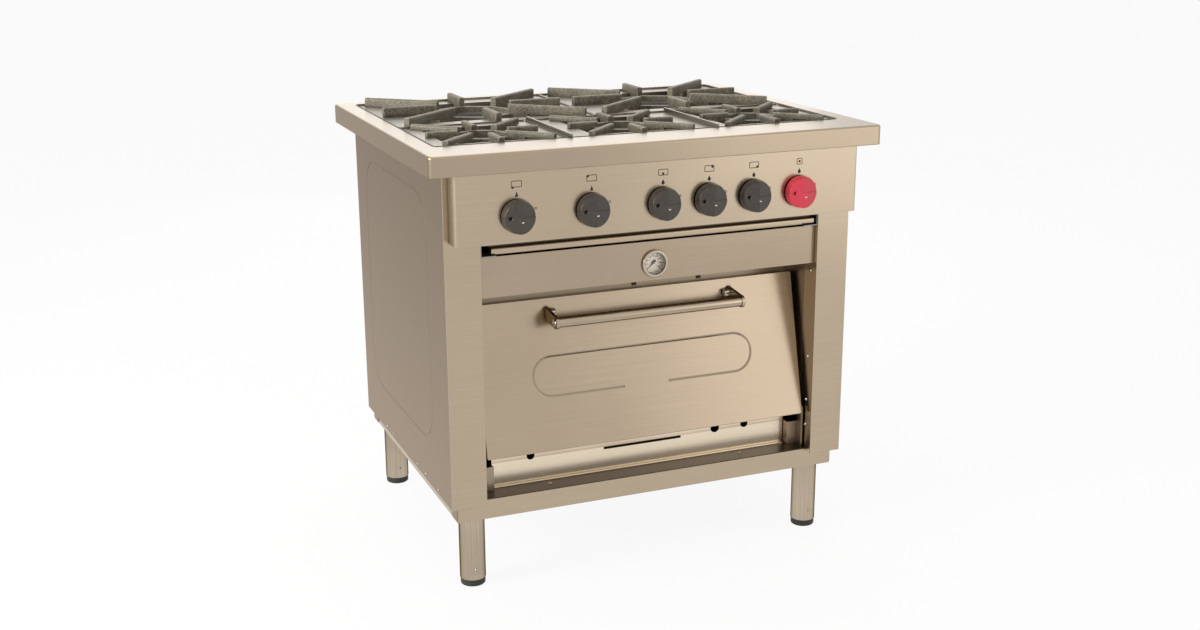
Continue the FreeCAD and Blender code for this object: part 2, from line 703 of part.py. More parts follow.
def burners():
    bodies = []
    caps = []
    for name, x, y, recess_half, diameter, tap in burner_table():
        radius = diameter / 2
        bowl_top = strap_top + BURNER_BODY_HEIGHT
        bowl = rod_z(x, y, strap_top, bowl_top, radius)
        hollow = rod_z(x, y, strap_top + BURNER_FLOOR, bowl_top + OVERRUN, radius - BURNER_WALL)
        mixer = rod_y(x, mixer_front, y, mixer_height, MIXER_DIAMETER / 2)
        throat = rod_y(x, mixer_front + INJECTOR_WALL, y, mixer_height, MIXER_DIAMETER / 2 - MIXER_WALL)
        bodies.append(bowl.fuse(mixer).cut(hollow).cut(throat))

        cap = rod_z(x, y, bowl_top, bowl_top + BURNER_CAP_RISE, radius)
        crown = ring_edges_at(cap, V(x, y, bowl_top + BURNER_CAP_RISE), AXIS_Z)
        cap = cap.makeFillet(BURNER_CAP_EDGE, crown)
        spigot = rod_z(x, y, bowl_top - BURNER_CAP_SPIGOT, bowl_top + BURNER_CAP_EDGE,
                       radius - BURNER_WALL - SEAT_GAP)
        caps.append(cap.fuse(spigot).removeSplitter())
        if name.startswith("back"):
            pan_support(name, x, y, rear_grate_width, rear_grate_depth, REAR_GRATE_PROUD,
                        REAR_RING_RADIUS, recess_half)
        else:
            pan_support(name, x, y, front_grate_width, front_grate_depth, FRONT_GRATE_PROUD,
                        FRONT_RING_RADIUS, recess_half)
    save("burner_bodies", *bodies)
    save("burner_caps", *caps)


def gas_train():
    half = HEADER_SIDE / 2
    z = knob_height
    x = supply_x()
    header = span_box(-post_inside, post_inside, header_front, header_back, z - half, z + half)
    supply_end = body_back + INLET_SHOULDER
    supply = rod_y(x, header_back, supply_end, z, SUPPLY_DIAMETER / 2)
    inlet = rod_y(x, supply_end, supply_end + INLET_LENGTH, z, INLET_DIAMETER / 2)
    bore_half = half - HEADER_WALL
    header_bore = span_box(-post_inside + HEADER_WALL, post_inside - HEADER_WALL,
                           header_front + HEADER_WALL, header_back - HEADER_WALL,
                           z - bore_half, z + bore_half)
    supply_bore = rod_y(x, header_front + half, supply_end + INLET_LENGTH + OVERRUN, z, INLET_BORE / 2)
    save("gas_manifold", header.fuse(supply).fuse(inlet).cut(header_bore).cut(supply_bore))

    tap_front = panel_front + SHEET + TAP_FRONT_SETBACK
    tap_middle = (tap_front + header_front) / 2
    outlet_top = z + TAP_DIAMETER / 2 + TAP_OUTLET_RISE
    knob_back = panel_front - KNOB_STANDOFF
    taps = []
    for number, x in enumerate(knob_places, start=1):
        body = rod_y(x, tap_front, header_front, z, TAP_DIAMETER / 2)
        outlet = rod_z(x, tap_middle, z, outlet_top, TAP_OUTLET_DIAMETER / 2)
        bore = rod_y(x, tap_front - OVERRUN, tap_front + TAP_BORE_DEPTH, z,
                     SPINDLE_DIAMETER / 2 + RUNNING_FIT)
        taps.append(body.fuse(outlet).cut(bore))
        spindle_and_knob(number, x, knob_back, tap_front + TAP_BORE_DEPTH - SEAT_GAP)
    save("gas_taps", *taps)

    feeds = []
    for name, burner_x, burner_y, recess_half, head, tap in burner_table():
        tap_x = knob_places[tap]
        feeds.append(pipe_run([
            V(tap_x, tap_middle, outlet_top),
            V(tap_x, tap_middle, mixer_height),
            V(burner_x, mixer_front - PIPE_LEAD, mixer_height),
            V(burner_x, mixer_front, mixer_height),
        ], PIPE_DIAMETER / 2, PIPE_BEND))
    last_x = knob_places[-1]
    drop_x = body_inside - OVEN_PIPE_WALL_GAP
    turn_y = reveal_back + OVEN_PIPE_WALL_GAP
    high = outlet_top + PIPE_LEAD
    burner_end = oven_burner_inlet()
    feeds.append(pipe_run([
        V(last_x, tap_middle, outlet_top),
        V(last_x, tap_middle, high),
        V(last_x, turn_y, high),
        V(drop_x, turn_y, high),
        V(drop_x, turn_y, burner_end.z),
        V(drop_x, burner_end.y, burner_end.z),
        burner_end,
    ], PIPE_DIAMETER / 2, PIPE_BEND))
    save("feed_pipes", *feeds)


def spindle_and_knob(number, x, knob_back, spindle_back):
    z = knob_height
    grip_front = knob_back - SPINDLE_GRIP
    radius = SPINDLE_DIAMETER / 2
    flat_z = radius - SPINDLE_FLAT
    spindle = rod_y(x, grip_front, spindle_back, z, radius)
    flat = span_box(x - SPINDLE_DIAMETER, x + SPINDLE_DIAMETER, grip_front - OVERRUN, knob_back,
                    z + flat_z, z + SPINDLE_DIAMETER)
    save("spindle_" + str(number), spindle.cut(flat))

    face = knob_back - KNOB_DEPTH
    skirt_front = knob_back - KNOB_SKIRT
    skirt = rod_y(x, skirt_front, knob_back, z, KNOB_DIAMETER / 2)
    nose = Part.makeCone(KNOB_DIAMETER / 2, KNOB_FRONT_DIAMETER / 2, skirt_front - face,
                         V(x, skirt_front, z), -AXIS_Y)
    knob = skirt.fuse(nose).removeSplitter()
    knob = knob.makeFillet(KNOB_EDGE, ring_edges_at(knob, V(x, face, z), AXIS_Y))
    reach = KNOB_DIAMETER
    for side in (-1, 1):
        corner = x + side * KNOB_RIDGE / 2
        edge = x + side * KNOB_DIAMETER / 2
        wedge = flat_plate([
            V(corner, face - OVERRUN, z - reach),
            V(corner, face, z - reach),
            V(edge, face + KNOB_ROOF_DROP, z - reach),
            V(edge, face - OVERRUN, z - reach),
        ], AXIS_Z * (reach + reach))
        knob = knob.cut(wedge)
    hole_x = x - KNOB_DIAMETER / 4
    hole_end = face + KNOB_ROOF_DROP / 2 + KNOB_HOLE_DEPTH
    knob = knob.cut(rod_y(hole_x, face - OVERRUN, hole_end, z, KNOB_HOLE_DIAMETER / 2))
    groove = span_box(x + KNOB_RIDGE, x + KNOB_DIAMETER, face - OVERRUN, face + KNOB_ROOF_DROP,
                      z - KNOB_GROOVE / 2, z + KNOB_GROOVE / 2)
    knob = knob.cut(groove)
    socket_end = grip_front - KNOB_PUSH - SEAT_GAP
    socket = rod_y(x, socket_end, knob_back + OVERRUN, z, radius + RUNNING_FIT)
    land = span_box(x - SPINDLE_DIAMETER, x + SPINDLE_DIAMETER,
                    socket_end - OVERRUN, knob_back - KNOB_PUSH - SEAT_GAP,
                    z + flat_z + RUNNING_FIT, z + SPINDLE_DIAMETER)
    save("knob_" + str(number), knob.cut(socket.cut(land)))


def drip_tray():
    left = -post_inside + DRIP_SIDE_GAP + DRIP_SHIFT
    right = post_inside - DRIP_SIDE_GAP + DRIP_SHIFT
    front = rim_front + DRIP_FRONT_SETBACK
    back = body_back - DRIP_BACK_GAP
    low = slot_bottom + DRIP_LIFT
    high = low + DRIP_WALL_HEIGHT
    lip_back = front + DRIP_LIP_DEPTH
    outer = span_box(left, right, lip_back, back, low, high)
    hollow = span_box(left + SHEET, right - SHEET, lip_back - OVERRUN, back - SHEET,
                      low + SHEET, high + OVERRUN)
    lip = rounded_box(left, right, front, lip_back, low, low + DRIP_LIP_HEIGHT, AXIS_X, DRIP_LIP_DEPTH / 3)
    save("drip_tray", outer.cut(hollow).fuse(lip).removeSplitter())

    ledge_top = low - SEAT_GAP
    ledge = span_box(post_inside - RUNNER_LEDGE, post_inside, post_front + SHEET, body_back - SHEET,
                     ledge_top - SHEET, ledge_top)
    wall = span_box(post_inside - SHEET, post_inside, post_front + SHEET, body_back - SHEET,
                    ledge_top - SHEET, ledge_top + RUNNER_HEIGHT)
    save("tray_runners", *both_sides(ledge.fuse(wall).removeSplitter()))


def thermometer_fascia():
    front = fascia_front
    back = front + SHEET
    middle = fascia_bottom + THERMO_RISE
    case_radius = THERMO_DIAMETER / 2 - THERMO_WALL
    plate = span_box(-post_inside, post_inside, front, back, fascia_bottom, slot_bottom)
    soffit_back = slope_y(mouth_back, fascia_bottom)
    soffit = span_box(-post_inside, post_inside, front, soffit_back, fascia_bottom, fascia_bottom + SHEET)
    hole = rod_y(0, front - OVERRUN, back + OVERRUN, middle, case_radius)
    save("thermometer_fascia", plate.fuse(soffit).cut(hole).removeSplitter())

    bezel_front = front - THERMO_PROUD
    case_back = front + THERMO_CASE_DEPTH
    dial_front = bezel_front + THERMO_DIAL_DROP
    bore = case_radius - THERMO_WALL
    bezel = rod_y(0, bezel_front, front, middle, THERMO_DIAMETER / 2)
    bezel = bezel.makeFillet(THERMO_WALL / 2, ring_edges_at(bezel, V(0, bezel_front, middle), AXIS_Y))
    barrel = rod_y(0, front, case_back, middle, case_radius)
    hollow = rod_y(0, bezel_front - OVERRUN, dial_front + THERMO_DIAL, middle, bore)
    glass_front = bezel_front + THERMO_WALL / 2
    glass_back = glass_front + THERMO_GLASS
    glass_seat = rod_y(0, bezel_front - OVERRUN, glass_back, middle, bore + THERMO_GLASS_SEAT)
    save("thermometer_case", bezel.fuse(barrel).cut(hollow).cut(glass_seat))
    save("thermometer_glass", rod_y(0, glass_front, glass_back, middle, bore + THERMO_GLASS_SEAT))

    dial = rod_y(0, dial_front, dial_front + THERMO_DIAL, middle, bore)
    pin = rod_y(0, dial_front - THERMO_PIN_LENGTH, dial_front, middle, THERMO_PIN_DIAMETER / 2)
    save("thermometer_dial", dial.fuse(pin))

    needle_back = dial_front - NEEDLE_LIFT
    needle_front = needle_back - NEEDLE_THICKNESS
    hub = rod_y(0, needle_front, needle_back, middle, NEEDLE_HUB_DIAMETER / 2)
    eye = rod_y(0, needle_front - OVERRUN, needle_back + OVERRUN, middle,
                THERMO_PIN_DIAMETER / 2 + RUNNING_FIT)
    tip = middle + bore * NEEDLE_LENGTH_SHARE
    tail = middle - bore * NEEDLE_TAIL_SHARE
    blade = flat_plate([
        V(-NEEDLE_WIDTH, needle_front, tail), V(NEEDLE_WIDTH, needle_front, tail),
        V(NEEDLE_WIDTH / 2, needle_front, middle), V(0, needle_front, tip),
        V(-NEEDLE_WIDTH / 2, needle_front, middle),
    ], AXIS_Y * NEEDLE_THICKNESS)
    needle = hub.fuse(blade).cut(eye)
    needle.rotate(V(0, 0, middle), AXIS_Y, NEEDLE_REST_ANGLE)
    save("thermometer_needle", needle)


def oven_mouth():
    low = MOUTH_FOOT_GAP
    wide = span_box(-post_inside, post_inside, mouth_front, mouth_back, low, door_height + HOB_HEIGHT)
    hole = span_box(-oven_half, oven_half, mouth_front - OVERRUN, mouth_back + OVERRUN,
                    MOUTH_LOW_BORDER, door_height - MOUTH_TOP_COVER)
    above = span_box(-RIM_WIDTH, RIM_WIDTH, -RIM_DEPTH, RIM_DEPTH, fascia_bottom, HOB_HEIGHT + HOB_HEIGHT)
    plate = leaned(wide.cut(hole)).cut(above)
    cheek_low = floor_top
    cheek = flat_plate([
        V(post_inside, reveal_back, cheek_low),
        V(post_inside, slope_y(mouth_back, cheek_low), cheek_low),
        V(post_inside, slope_y(mouth_back, fascia_bottom), fascia_bottom),
        V(post_inside, reveal_back, fascia_bottom),
    ], AXIS_X * SHEET)
    save("oven_mouth_frame", plate.multiFuse(both_sides(cheek)).removeSplitter())


def burner_fascia():
    half = door_half + CHEEK_DOOR_GAP + CHEEK_THICKNESS - BRACKET_WIDTH - LOW_FASCIA_GAP
    front = low_fascia_front
    back = front + SHEET
    top = leaned(span_box(0, SHEET, mouth_front, mouth_back, MOUTH_FOOT_GAP, door_height)).BoundBox.ZMin
    plate = span_box(-half, half, front, back, floor_top, top - LOW_FASCIA_GAP)
    lip = span_box(-half, half, front - LOW_FASCIA_LIP, back, floor_top, floor_top + SHEET)
    fascia = plate.fuse(lip).removeSplitter()
    for share in PEEP_PLACE_SHARES:
        x = share * half * 2
        diameter = PEEP_DIAMETER
        if share == PEEP_PLACE_SHARES[1]:
            diameter = MIDDLE_PEEP_DIAMETER
        height = floor_top + PEEP_HEIGHT
        fascia = fascia.cut(rod_y(x, front - OVERRUN, back + OVERRUN, height, diameter / 2))
    slot_low = floor_top + LIGHT_SLOT_RISE
    slot_half = LIGHT_SLOT_LENGTH / 2
    fascia = fascia.cut(span_box(-slot_half, slot_half, front - OVERRUN, back + OVERRUN,
                                 slot_low, slot_low + LIGHT_SLOT_HEIGHT))
    save("burner_fascia", fascia)

    cheek_x = door_half + CHEEK_DOOR_GAP
    outer_x = cheek_x + CHEEK_THICKNESS
    inner_x = outer_x - BRACKET_WIDTH
    bracket_top = hinge_point.z - door_sweep - BRACKET_TOP_GAP
    bracket_front = hinge_point.y + CHEEK_BOSS_DIAMETER / 2
    bracket_back = bracket_front + BRACKET_DEPTH
    box = span_box(inner_x, outer_x, bracket_front, bracket_back, floor_top, bracket_top)
    hollow = span_box(inner_x + BRACKET_WALL, cheek_x, bracket_front + BRACKET_WALL, bracket_back + OVERRUN,
                      floor_top - OVERRUN, bracket_top - BRACKET_WALL)
    boss_radius = CHEEK_BOSS_DIAMETER / 2
    boss = rod_x(cheek_x, outer_x, hinge_point.y, hinge_point.z, boss_radius)
    arm = span_box(cheek_x, outer_x, hinge_point.y - boss_radius, bracket_front + BRACKET_WALL,
                   floor_top, hinge_point.z)
    eye = rod_x(cheek_x - OVERRUN, outer_x + OVERRUN, hinge_point.y, hinge_point.z,
                HINGE_PIN_DIAMETER / 2 + RUNNING_FIT)
    bracket = box.cut(hollow).multiFuse([boss, arm]).cut(eye).removeSplitter()
    save("hinge_brackets", *both_sides(bracket))


def oven_door():
    outer = rounded_box(-door_half, door_half, 0, DOOR_SKIN_DEPTH, 0, door_height, AXIS_Y, DOOR_CORNER)
    front_edges = [edge for edge in outer.Edges if edge.BoundBox.YMax < DOOR_EDGE / 2]
    outer = outer.makeFillet(DOOR_EDGE, front_edges)
    hollow = rounded_box(-door_half + SHEET, door_half - SHEET, SHEET, DOOR_SKIN_DEPTH + OVERRUN,
                         SHEET, door_height - SHEET, AXIS_Y, DOOR_CORNER - SHEET)
    pin_hole = rod_x(-RIM_WIDTH, RIM_WIDTH, HINGE_PIN_DEPTH, HINGE_PIN_RISE,
                     HINGE_PIN_DIAMETER / 2 + RUNNING_FIT)
    groove_end = door_half - DOOR_GROOVE_END_INSET
    groove_middle = (handle_root - HANDLE_PLATE_HEIGHT / 2) * DOOR_GROOVE_PLACE_SHARE
    groove_low = groove_middle - DOOR_GROOVE_HEIGHT / 2
    groove_high = groove_middle + DOOR_GROOVE_HEIGHT / 2
    groove = groove_cutter([
        V(DOOR_GROOVE_BREAK / 2, 0, groove_low),
        V(groove_end, 0, groove_low),
        V(groove_end, 0, groove_high),
        V(-groove_end, 0, groove_high),
        V(-groove_end, 0, groove_low),
        V(-DOOR_GROOVE_BREAK / 2, 0, groove_low),
    ], DOOR_GROOVE_HEIGHT / 2, AXIS_Y, DOOR_GROOVE_WIDTH, DOOR_GROOVE_DEPTH)
    save("door_skin", leaned(outer.cut(hollow).cut(pin_hole).cut(groove)))

    liner = rounded_box(-door_half, door_half, DOOR_SKIN_DEPTH, DOOR_THICKNESS, 0, door_height,
                        AXIS_Y, DOOR_CORNER)
    inside = rounded_box(-door_half + SHEET, door_half - SHEET,
                         DOOR_SKIN_DEPTH - OVERRUN, DOOR_THICKNESS - SHEET,
                         SHEET, door_height - SHEET, AXIS_Y, DOOR_CORNER - SHEET)
    save("door_liner", leaned(liner.cut(inside)))

    inset = DOOR_CORNER + SEAT_GAP
    wool_low = HINGE_PIN_RISE + HINGE_BLOCK_SIDE
    wool = span_box(-door_half + inset, door_half - inset, SHEET, DOOR_THICKNESS - SHEET,
                    wool_low, door_height - inset)
    save("door_insulation", leaned(wool))

    block_x = door_half - SHEET
    half = HINGE_BLOCK_SIDE / 2
    block = span_box(block_x - HINGE_BLOCK_LENGTH, block_x, HINGE_PIN_DEPTH - half, DOOR_THICKNESS - SHEET,
                     DOOR_CORNER, HINGE_PIN_RISE + half)
    pin = rod_x(block_x - half, door_half + HINGE_PIN_OVERHANG, HINGE_PIN_DEPTH, HINGE_PIN_RISE,
                HINGE_PIN_DIAMETER / 2)
    save("hinge_pins", *[leaned(piece) for piece in both_sides(block.fuse(pin))])
    door_handle()


def door_handle():
    radius = HANDLE_DIAMETER / 2
    half = door_half - HANDLE_END_INSET
    bar = rod_x(-half, half, -HANDLE_STANDOFF, handle_rise, radius)
    bore = rod_x(-half, half, -HANDLE_STANDOFF, handle_rise, radius - HANDLE_WALL)
    edge = radius + HANDLE_PLATE_MARGIN
    slab = flat_plate([
        V(half, 0, handle_root - HANDLE_PLATE_HEIGHT / 2),
        V(half, 0, handle_root + HANDLE_PLATE_HEIGHT / 2),
        V(half, -HANDLE_STANDOFF, handle_rise + edge),
        V(half, -HANDLE_STANDOFF, handle_rise - edge),
    ], AXIS_X * HANDLE_PLATE)
    eye = rod_x(half, half + HANDLE_PLATE, -HANDLE_STANDOFF, handle_rise, edge)
    plates = both_sides(slab.fuse(eye).removeSplitter())
    save("door_handle", leaned(bar.cut(bore)), *[leaned(plate) for plate in plates])


def oven_cavity():
    reach = -rim_back
    outside = oven_half + OVEN_WALL
    floor = span_box(-oven_half, oven_half, reach, oven_back, oven_floor, oven_floor + OVEN_WALL)
    slot_length = (oven_back - slope_y(mouth_back, oven_floor)) * HEAT_SLOT_SHARE
    slot_middle = (oven_back + slope_y(mouth_back, oven_floor)) / 2
    slot = span_box(oven_half - HEAT_SLOT_MARGIN - HEAT_SLOT_WIDTH, oven_half - HEAT_SLOT_MARGIN,
                    slot_middle - slot_length / 2, slot_middle + slot_length / 2,
                    oven_floor - OVERRUN, oven_floor + OVEN_WALL + OVERRUN)
    save("oven_floor", behind_mouth(floor).cut(slot).cut(mirrored(slot)))
    ceiling = span_box(-oven_half, oven_half, reach, oven_back, oven_ceiling, oven_ceiling + OVEN_WALL)
    save("oven_ceiling", behind_mouth(ceiling))
    side = span_box(oven_half, outside, reach, oven_back, oven_floor, oven_ceiling + OVEN_WALL)
    save("oven_side_walls", *both_sides(behind_mouth(side)))
    save("oven_back_wall", span_box(-outside, outside, oven_back, oven_back + OVEN_WALL,
                                    oven_floor, oven_ceiling + OVEN_WALL))

    wool_top = span_box(-outside, outside, reach, oven_back + OVEN_WALL, oven_ceiling + OVEN_WALL,
                        oven_ceiling + OVEN_WALL + WOOL_TOP)
    under_fascia = span_box(-RIM_WIDTH, RIM_WIDTH, -RIM_DEPTH, slope_y(mouth_back, fascia_bottom) + SEAT_GAP,
                            0, HOB_HEIGHT)
    wool_side = span_box(outside, outside + WOOL_SIDE, reach, oven_back, oven_floor, oven_ceiling + OVEN_WALL)
    wool_back = span_box(-outside, outside, oven_back + OVEN_WALL, oven_back + OVEN_WALL + WOOL_BACK,
                         oven_floor, oven_ceiling + OVEN_WALL)
    save("oven_insulation", wool_top.cut(under_fascia), wool_back, *both_sides(behind_mouth(wool_side)))

    height = oven_ceiling - oven_floor
    levels = [oven_floor + share * height for share in RAIL_LEVEL_SHARES]
    rails = []
    for level in levels:
        start = slope_y(mouth_back, level) + MOUTH_GAP
        rail = span_box(oven_half - RAIL_LEDGE, oven_half, start, oven_back, level - RAIL_THICKNESS, level)
        rails += both_sides(rail)
    save("rack_rails", *rails)
    oven_rack(levels[RACK_LEVEL])

    z = floor_top + OVEN_BURNER_RISE
    front = low_fascia_front + SHEET + OVEN_BURNER_FRONT_GAP
    back = front + OVEN_BURNER_LENGTH
    spread = OVEN_BURNER_HALF_SPREAD
    tube = pipe_run([V(-spread, back, z), V(-spread, front, z), V(spread, front, z), V(spread, back, z)],
                    OVEN_BURNER_DIAMETER / 2, OVEN_BURNER_BEND)
    foot_half = OVEN_BURNER_FOOT / 2
    feet = []
    for x in (-spread, spread):
        for y in (front, back - OVEN_BURNER_FOOT):
            feet.append(span_box(x - foot_half, x + foot_half, y - foot_half, y + foot_half, floor_top, z))
    save("oven_burner", tube.multiFuse(feet))


def oven_burner_inlet():
    """The flat end of the right-hand burner tube, where the oven feed pipe meets it."""
    back = low_fascia_front + SHEET + OVEN_BURNER_FRONT_GAP + OVEN_BURNER_LENGTH
    return V(OVEN_BURNER_HALF_SPREAD, back + PIPE_LEAD, floor_top + OVEN_BURNER_RISE)


def oven_rack(level):
    half = oven_half - RACK_SIDE_GAP
    frame = RACK_FRAME_WIRE / 2
    z = level + SEAT_GAP + frame
    front = slope_y(mouth_back, level) + RACK_FRONT_GAP
    back = oven_back - RACK_BACK_GAP
    left = -half + frame
    right = half - frame
    corners = [V(left, front, z), V(right, front, z), V(right, back, z), V(left, back, z)]
    pieces = [rod(a, b, frame) for a, b in zip(corners, corners[1:] + corners[:1])]
    pieces += [Part.makeSphere(frame, corner) for corner in corners]
    pitch = (right - left) / (RACK_WIRE_COUNT + 1)
    for number in range(1, RACK_WIRE_COUNT + 1):
        x = left + pitch * number
        pieces.append(rod_y(x, front, back, z, RACK_WIRE / 2))
    save("oven_rack", pieces[0].multiFuse(pieces[1:]).removeSplitter())


def fasteners(leg_screws):
    heads = list(leg_screws)
    y = post_front + SCREW_REVEAL_DEPTH
    for share in SCREW_PLACE_SHARES:
        height = floor_top + share * (rim_under - floor_top)
        head = rod_x(post_inside - SCREW_HEAD_HEIGHT, post_inside, y, height, SCREW_HEAD_DIAMETER / 2)
        heads += both_sides(head)
    panel_length = body_back - post_front
    for share in RIVET_PLACE_SHARES:
        rivet_y = post_front + share * panel_length
        height = body_bottom + RIVET_RISE
        rivet = rod_x(body_half, body_half + SCREW_HEAD_HEIGHT, rivet_y, height, RIVET_DIAMETER / 2)
        heads += both_sides(rivet)
    save("fasteners", *heads)


leg_screws = base_and_legs()
body_sheets()
control_panel()
hob_rim()
hob_deck()
burners()
gas_train()
drip_tray()
thermometer_fascia()
oven_mouth()
burner_fascia()
oven_door()
oven_cavity()
fasteners(leg_screws)
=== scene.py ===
import math

import bmesh
import bpy
from mathutils import Matrix, Vector


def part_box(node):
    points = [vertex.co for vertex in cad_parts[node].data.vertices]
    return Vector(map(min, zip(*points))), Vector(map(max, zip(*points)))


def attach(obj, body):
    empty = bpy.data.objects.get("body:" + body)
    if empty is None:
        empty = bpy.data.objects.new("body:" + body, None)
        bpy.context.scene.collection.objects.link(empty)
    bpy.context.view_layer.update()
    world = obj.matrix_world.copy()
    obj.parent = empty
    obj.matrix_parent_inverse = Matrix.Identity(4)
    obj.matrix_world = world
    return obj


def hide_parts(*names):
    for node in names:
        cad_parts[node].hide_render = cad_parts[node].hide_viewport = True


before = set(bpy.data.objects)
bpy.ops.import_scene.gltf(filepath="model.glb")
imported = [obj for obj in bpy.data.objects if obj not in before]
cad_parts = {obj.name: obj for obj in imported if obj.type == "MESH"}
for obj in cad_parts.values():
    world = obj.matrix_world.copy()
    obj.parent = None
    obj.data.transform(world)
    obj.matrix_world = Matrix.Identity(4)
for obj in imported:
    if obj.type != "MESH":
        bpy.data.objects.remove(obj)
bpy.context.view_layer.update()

# Base frame and body sheets: square tube welded into a rectangle, with folded stainless sheet
# screwed and riveted round it. The sheets are ground with a fine belt, the front ones along X.
MM = 0.001
GRAIN_LENGTH = 260.0
GRAIN_WIDTH = 1.4
HANDLING_MARK = 210.0
SCRATCH_DEPTH = 0.2
SHEET_EDGE = 0.9
CORNER_SHADE_REACH = 7.0
CORNER_SHADE = "#463B31"
BAND_WAVER = 12.0
SIDE_GRAIN = "Y"
FRONT_GRAIN = "X"


def linear(code):
    """An sRGB hex code as linear red, green, blue and full opacity."""
    shares = [int(code[start:start + 2], 16) / 255 for start in (1, 3, 5)]
    return [s / 12.92 if s <= 0.04045 else ((s + 0.055) / 1.055) ** 2.4 for s in shares] + [1.0]


def add_node(finish, kind, inputs=None, stops=None, **settings):
    """Add one node, set its properties, and fill or link its inputs by name or number."""
    made = finish.node_tree.nodes.new(kind)
    for name, value in settings.items():
        setattr(made, name, value)
    for socket, value in (inputs or {}).items():
        if isinstance(value, bpy.types.NodeSocket):
            finish.node_tree.links.new(value, made.inputs[socket])
        else:
            made.inputs[socket].default_value = value
    for element, (place, code) in zip(made.color_ramp.elements if stops else [], stops or []):
        element.position = place
        element.color = linear(code)
    return made


def new_finish(name):
    """An empty material."""
    finish = bpy.data.materials.new(name)
    finish.use_nodes = True
    finish.node_tree.nodes.clear()
    return finish


def dress(finish, *names):
    """Give CAD nodes a finish through their material slots."""
    for name in names:
        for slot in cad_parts[name].material_slots:
            slot.material = finish


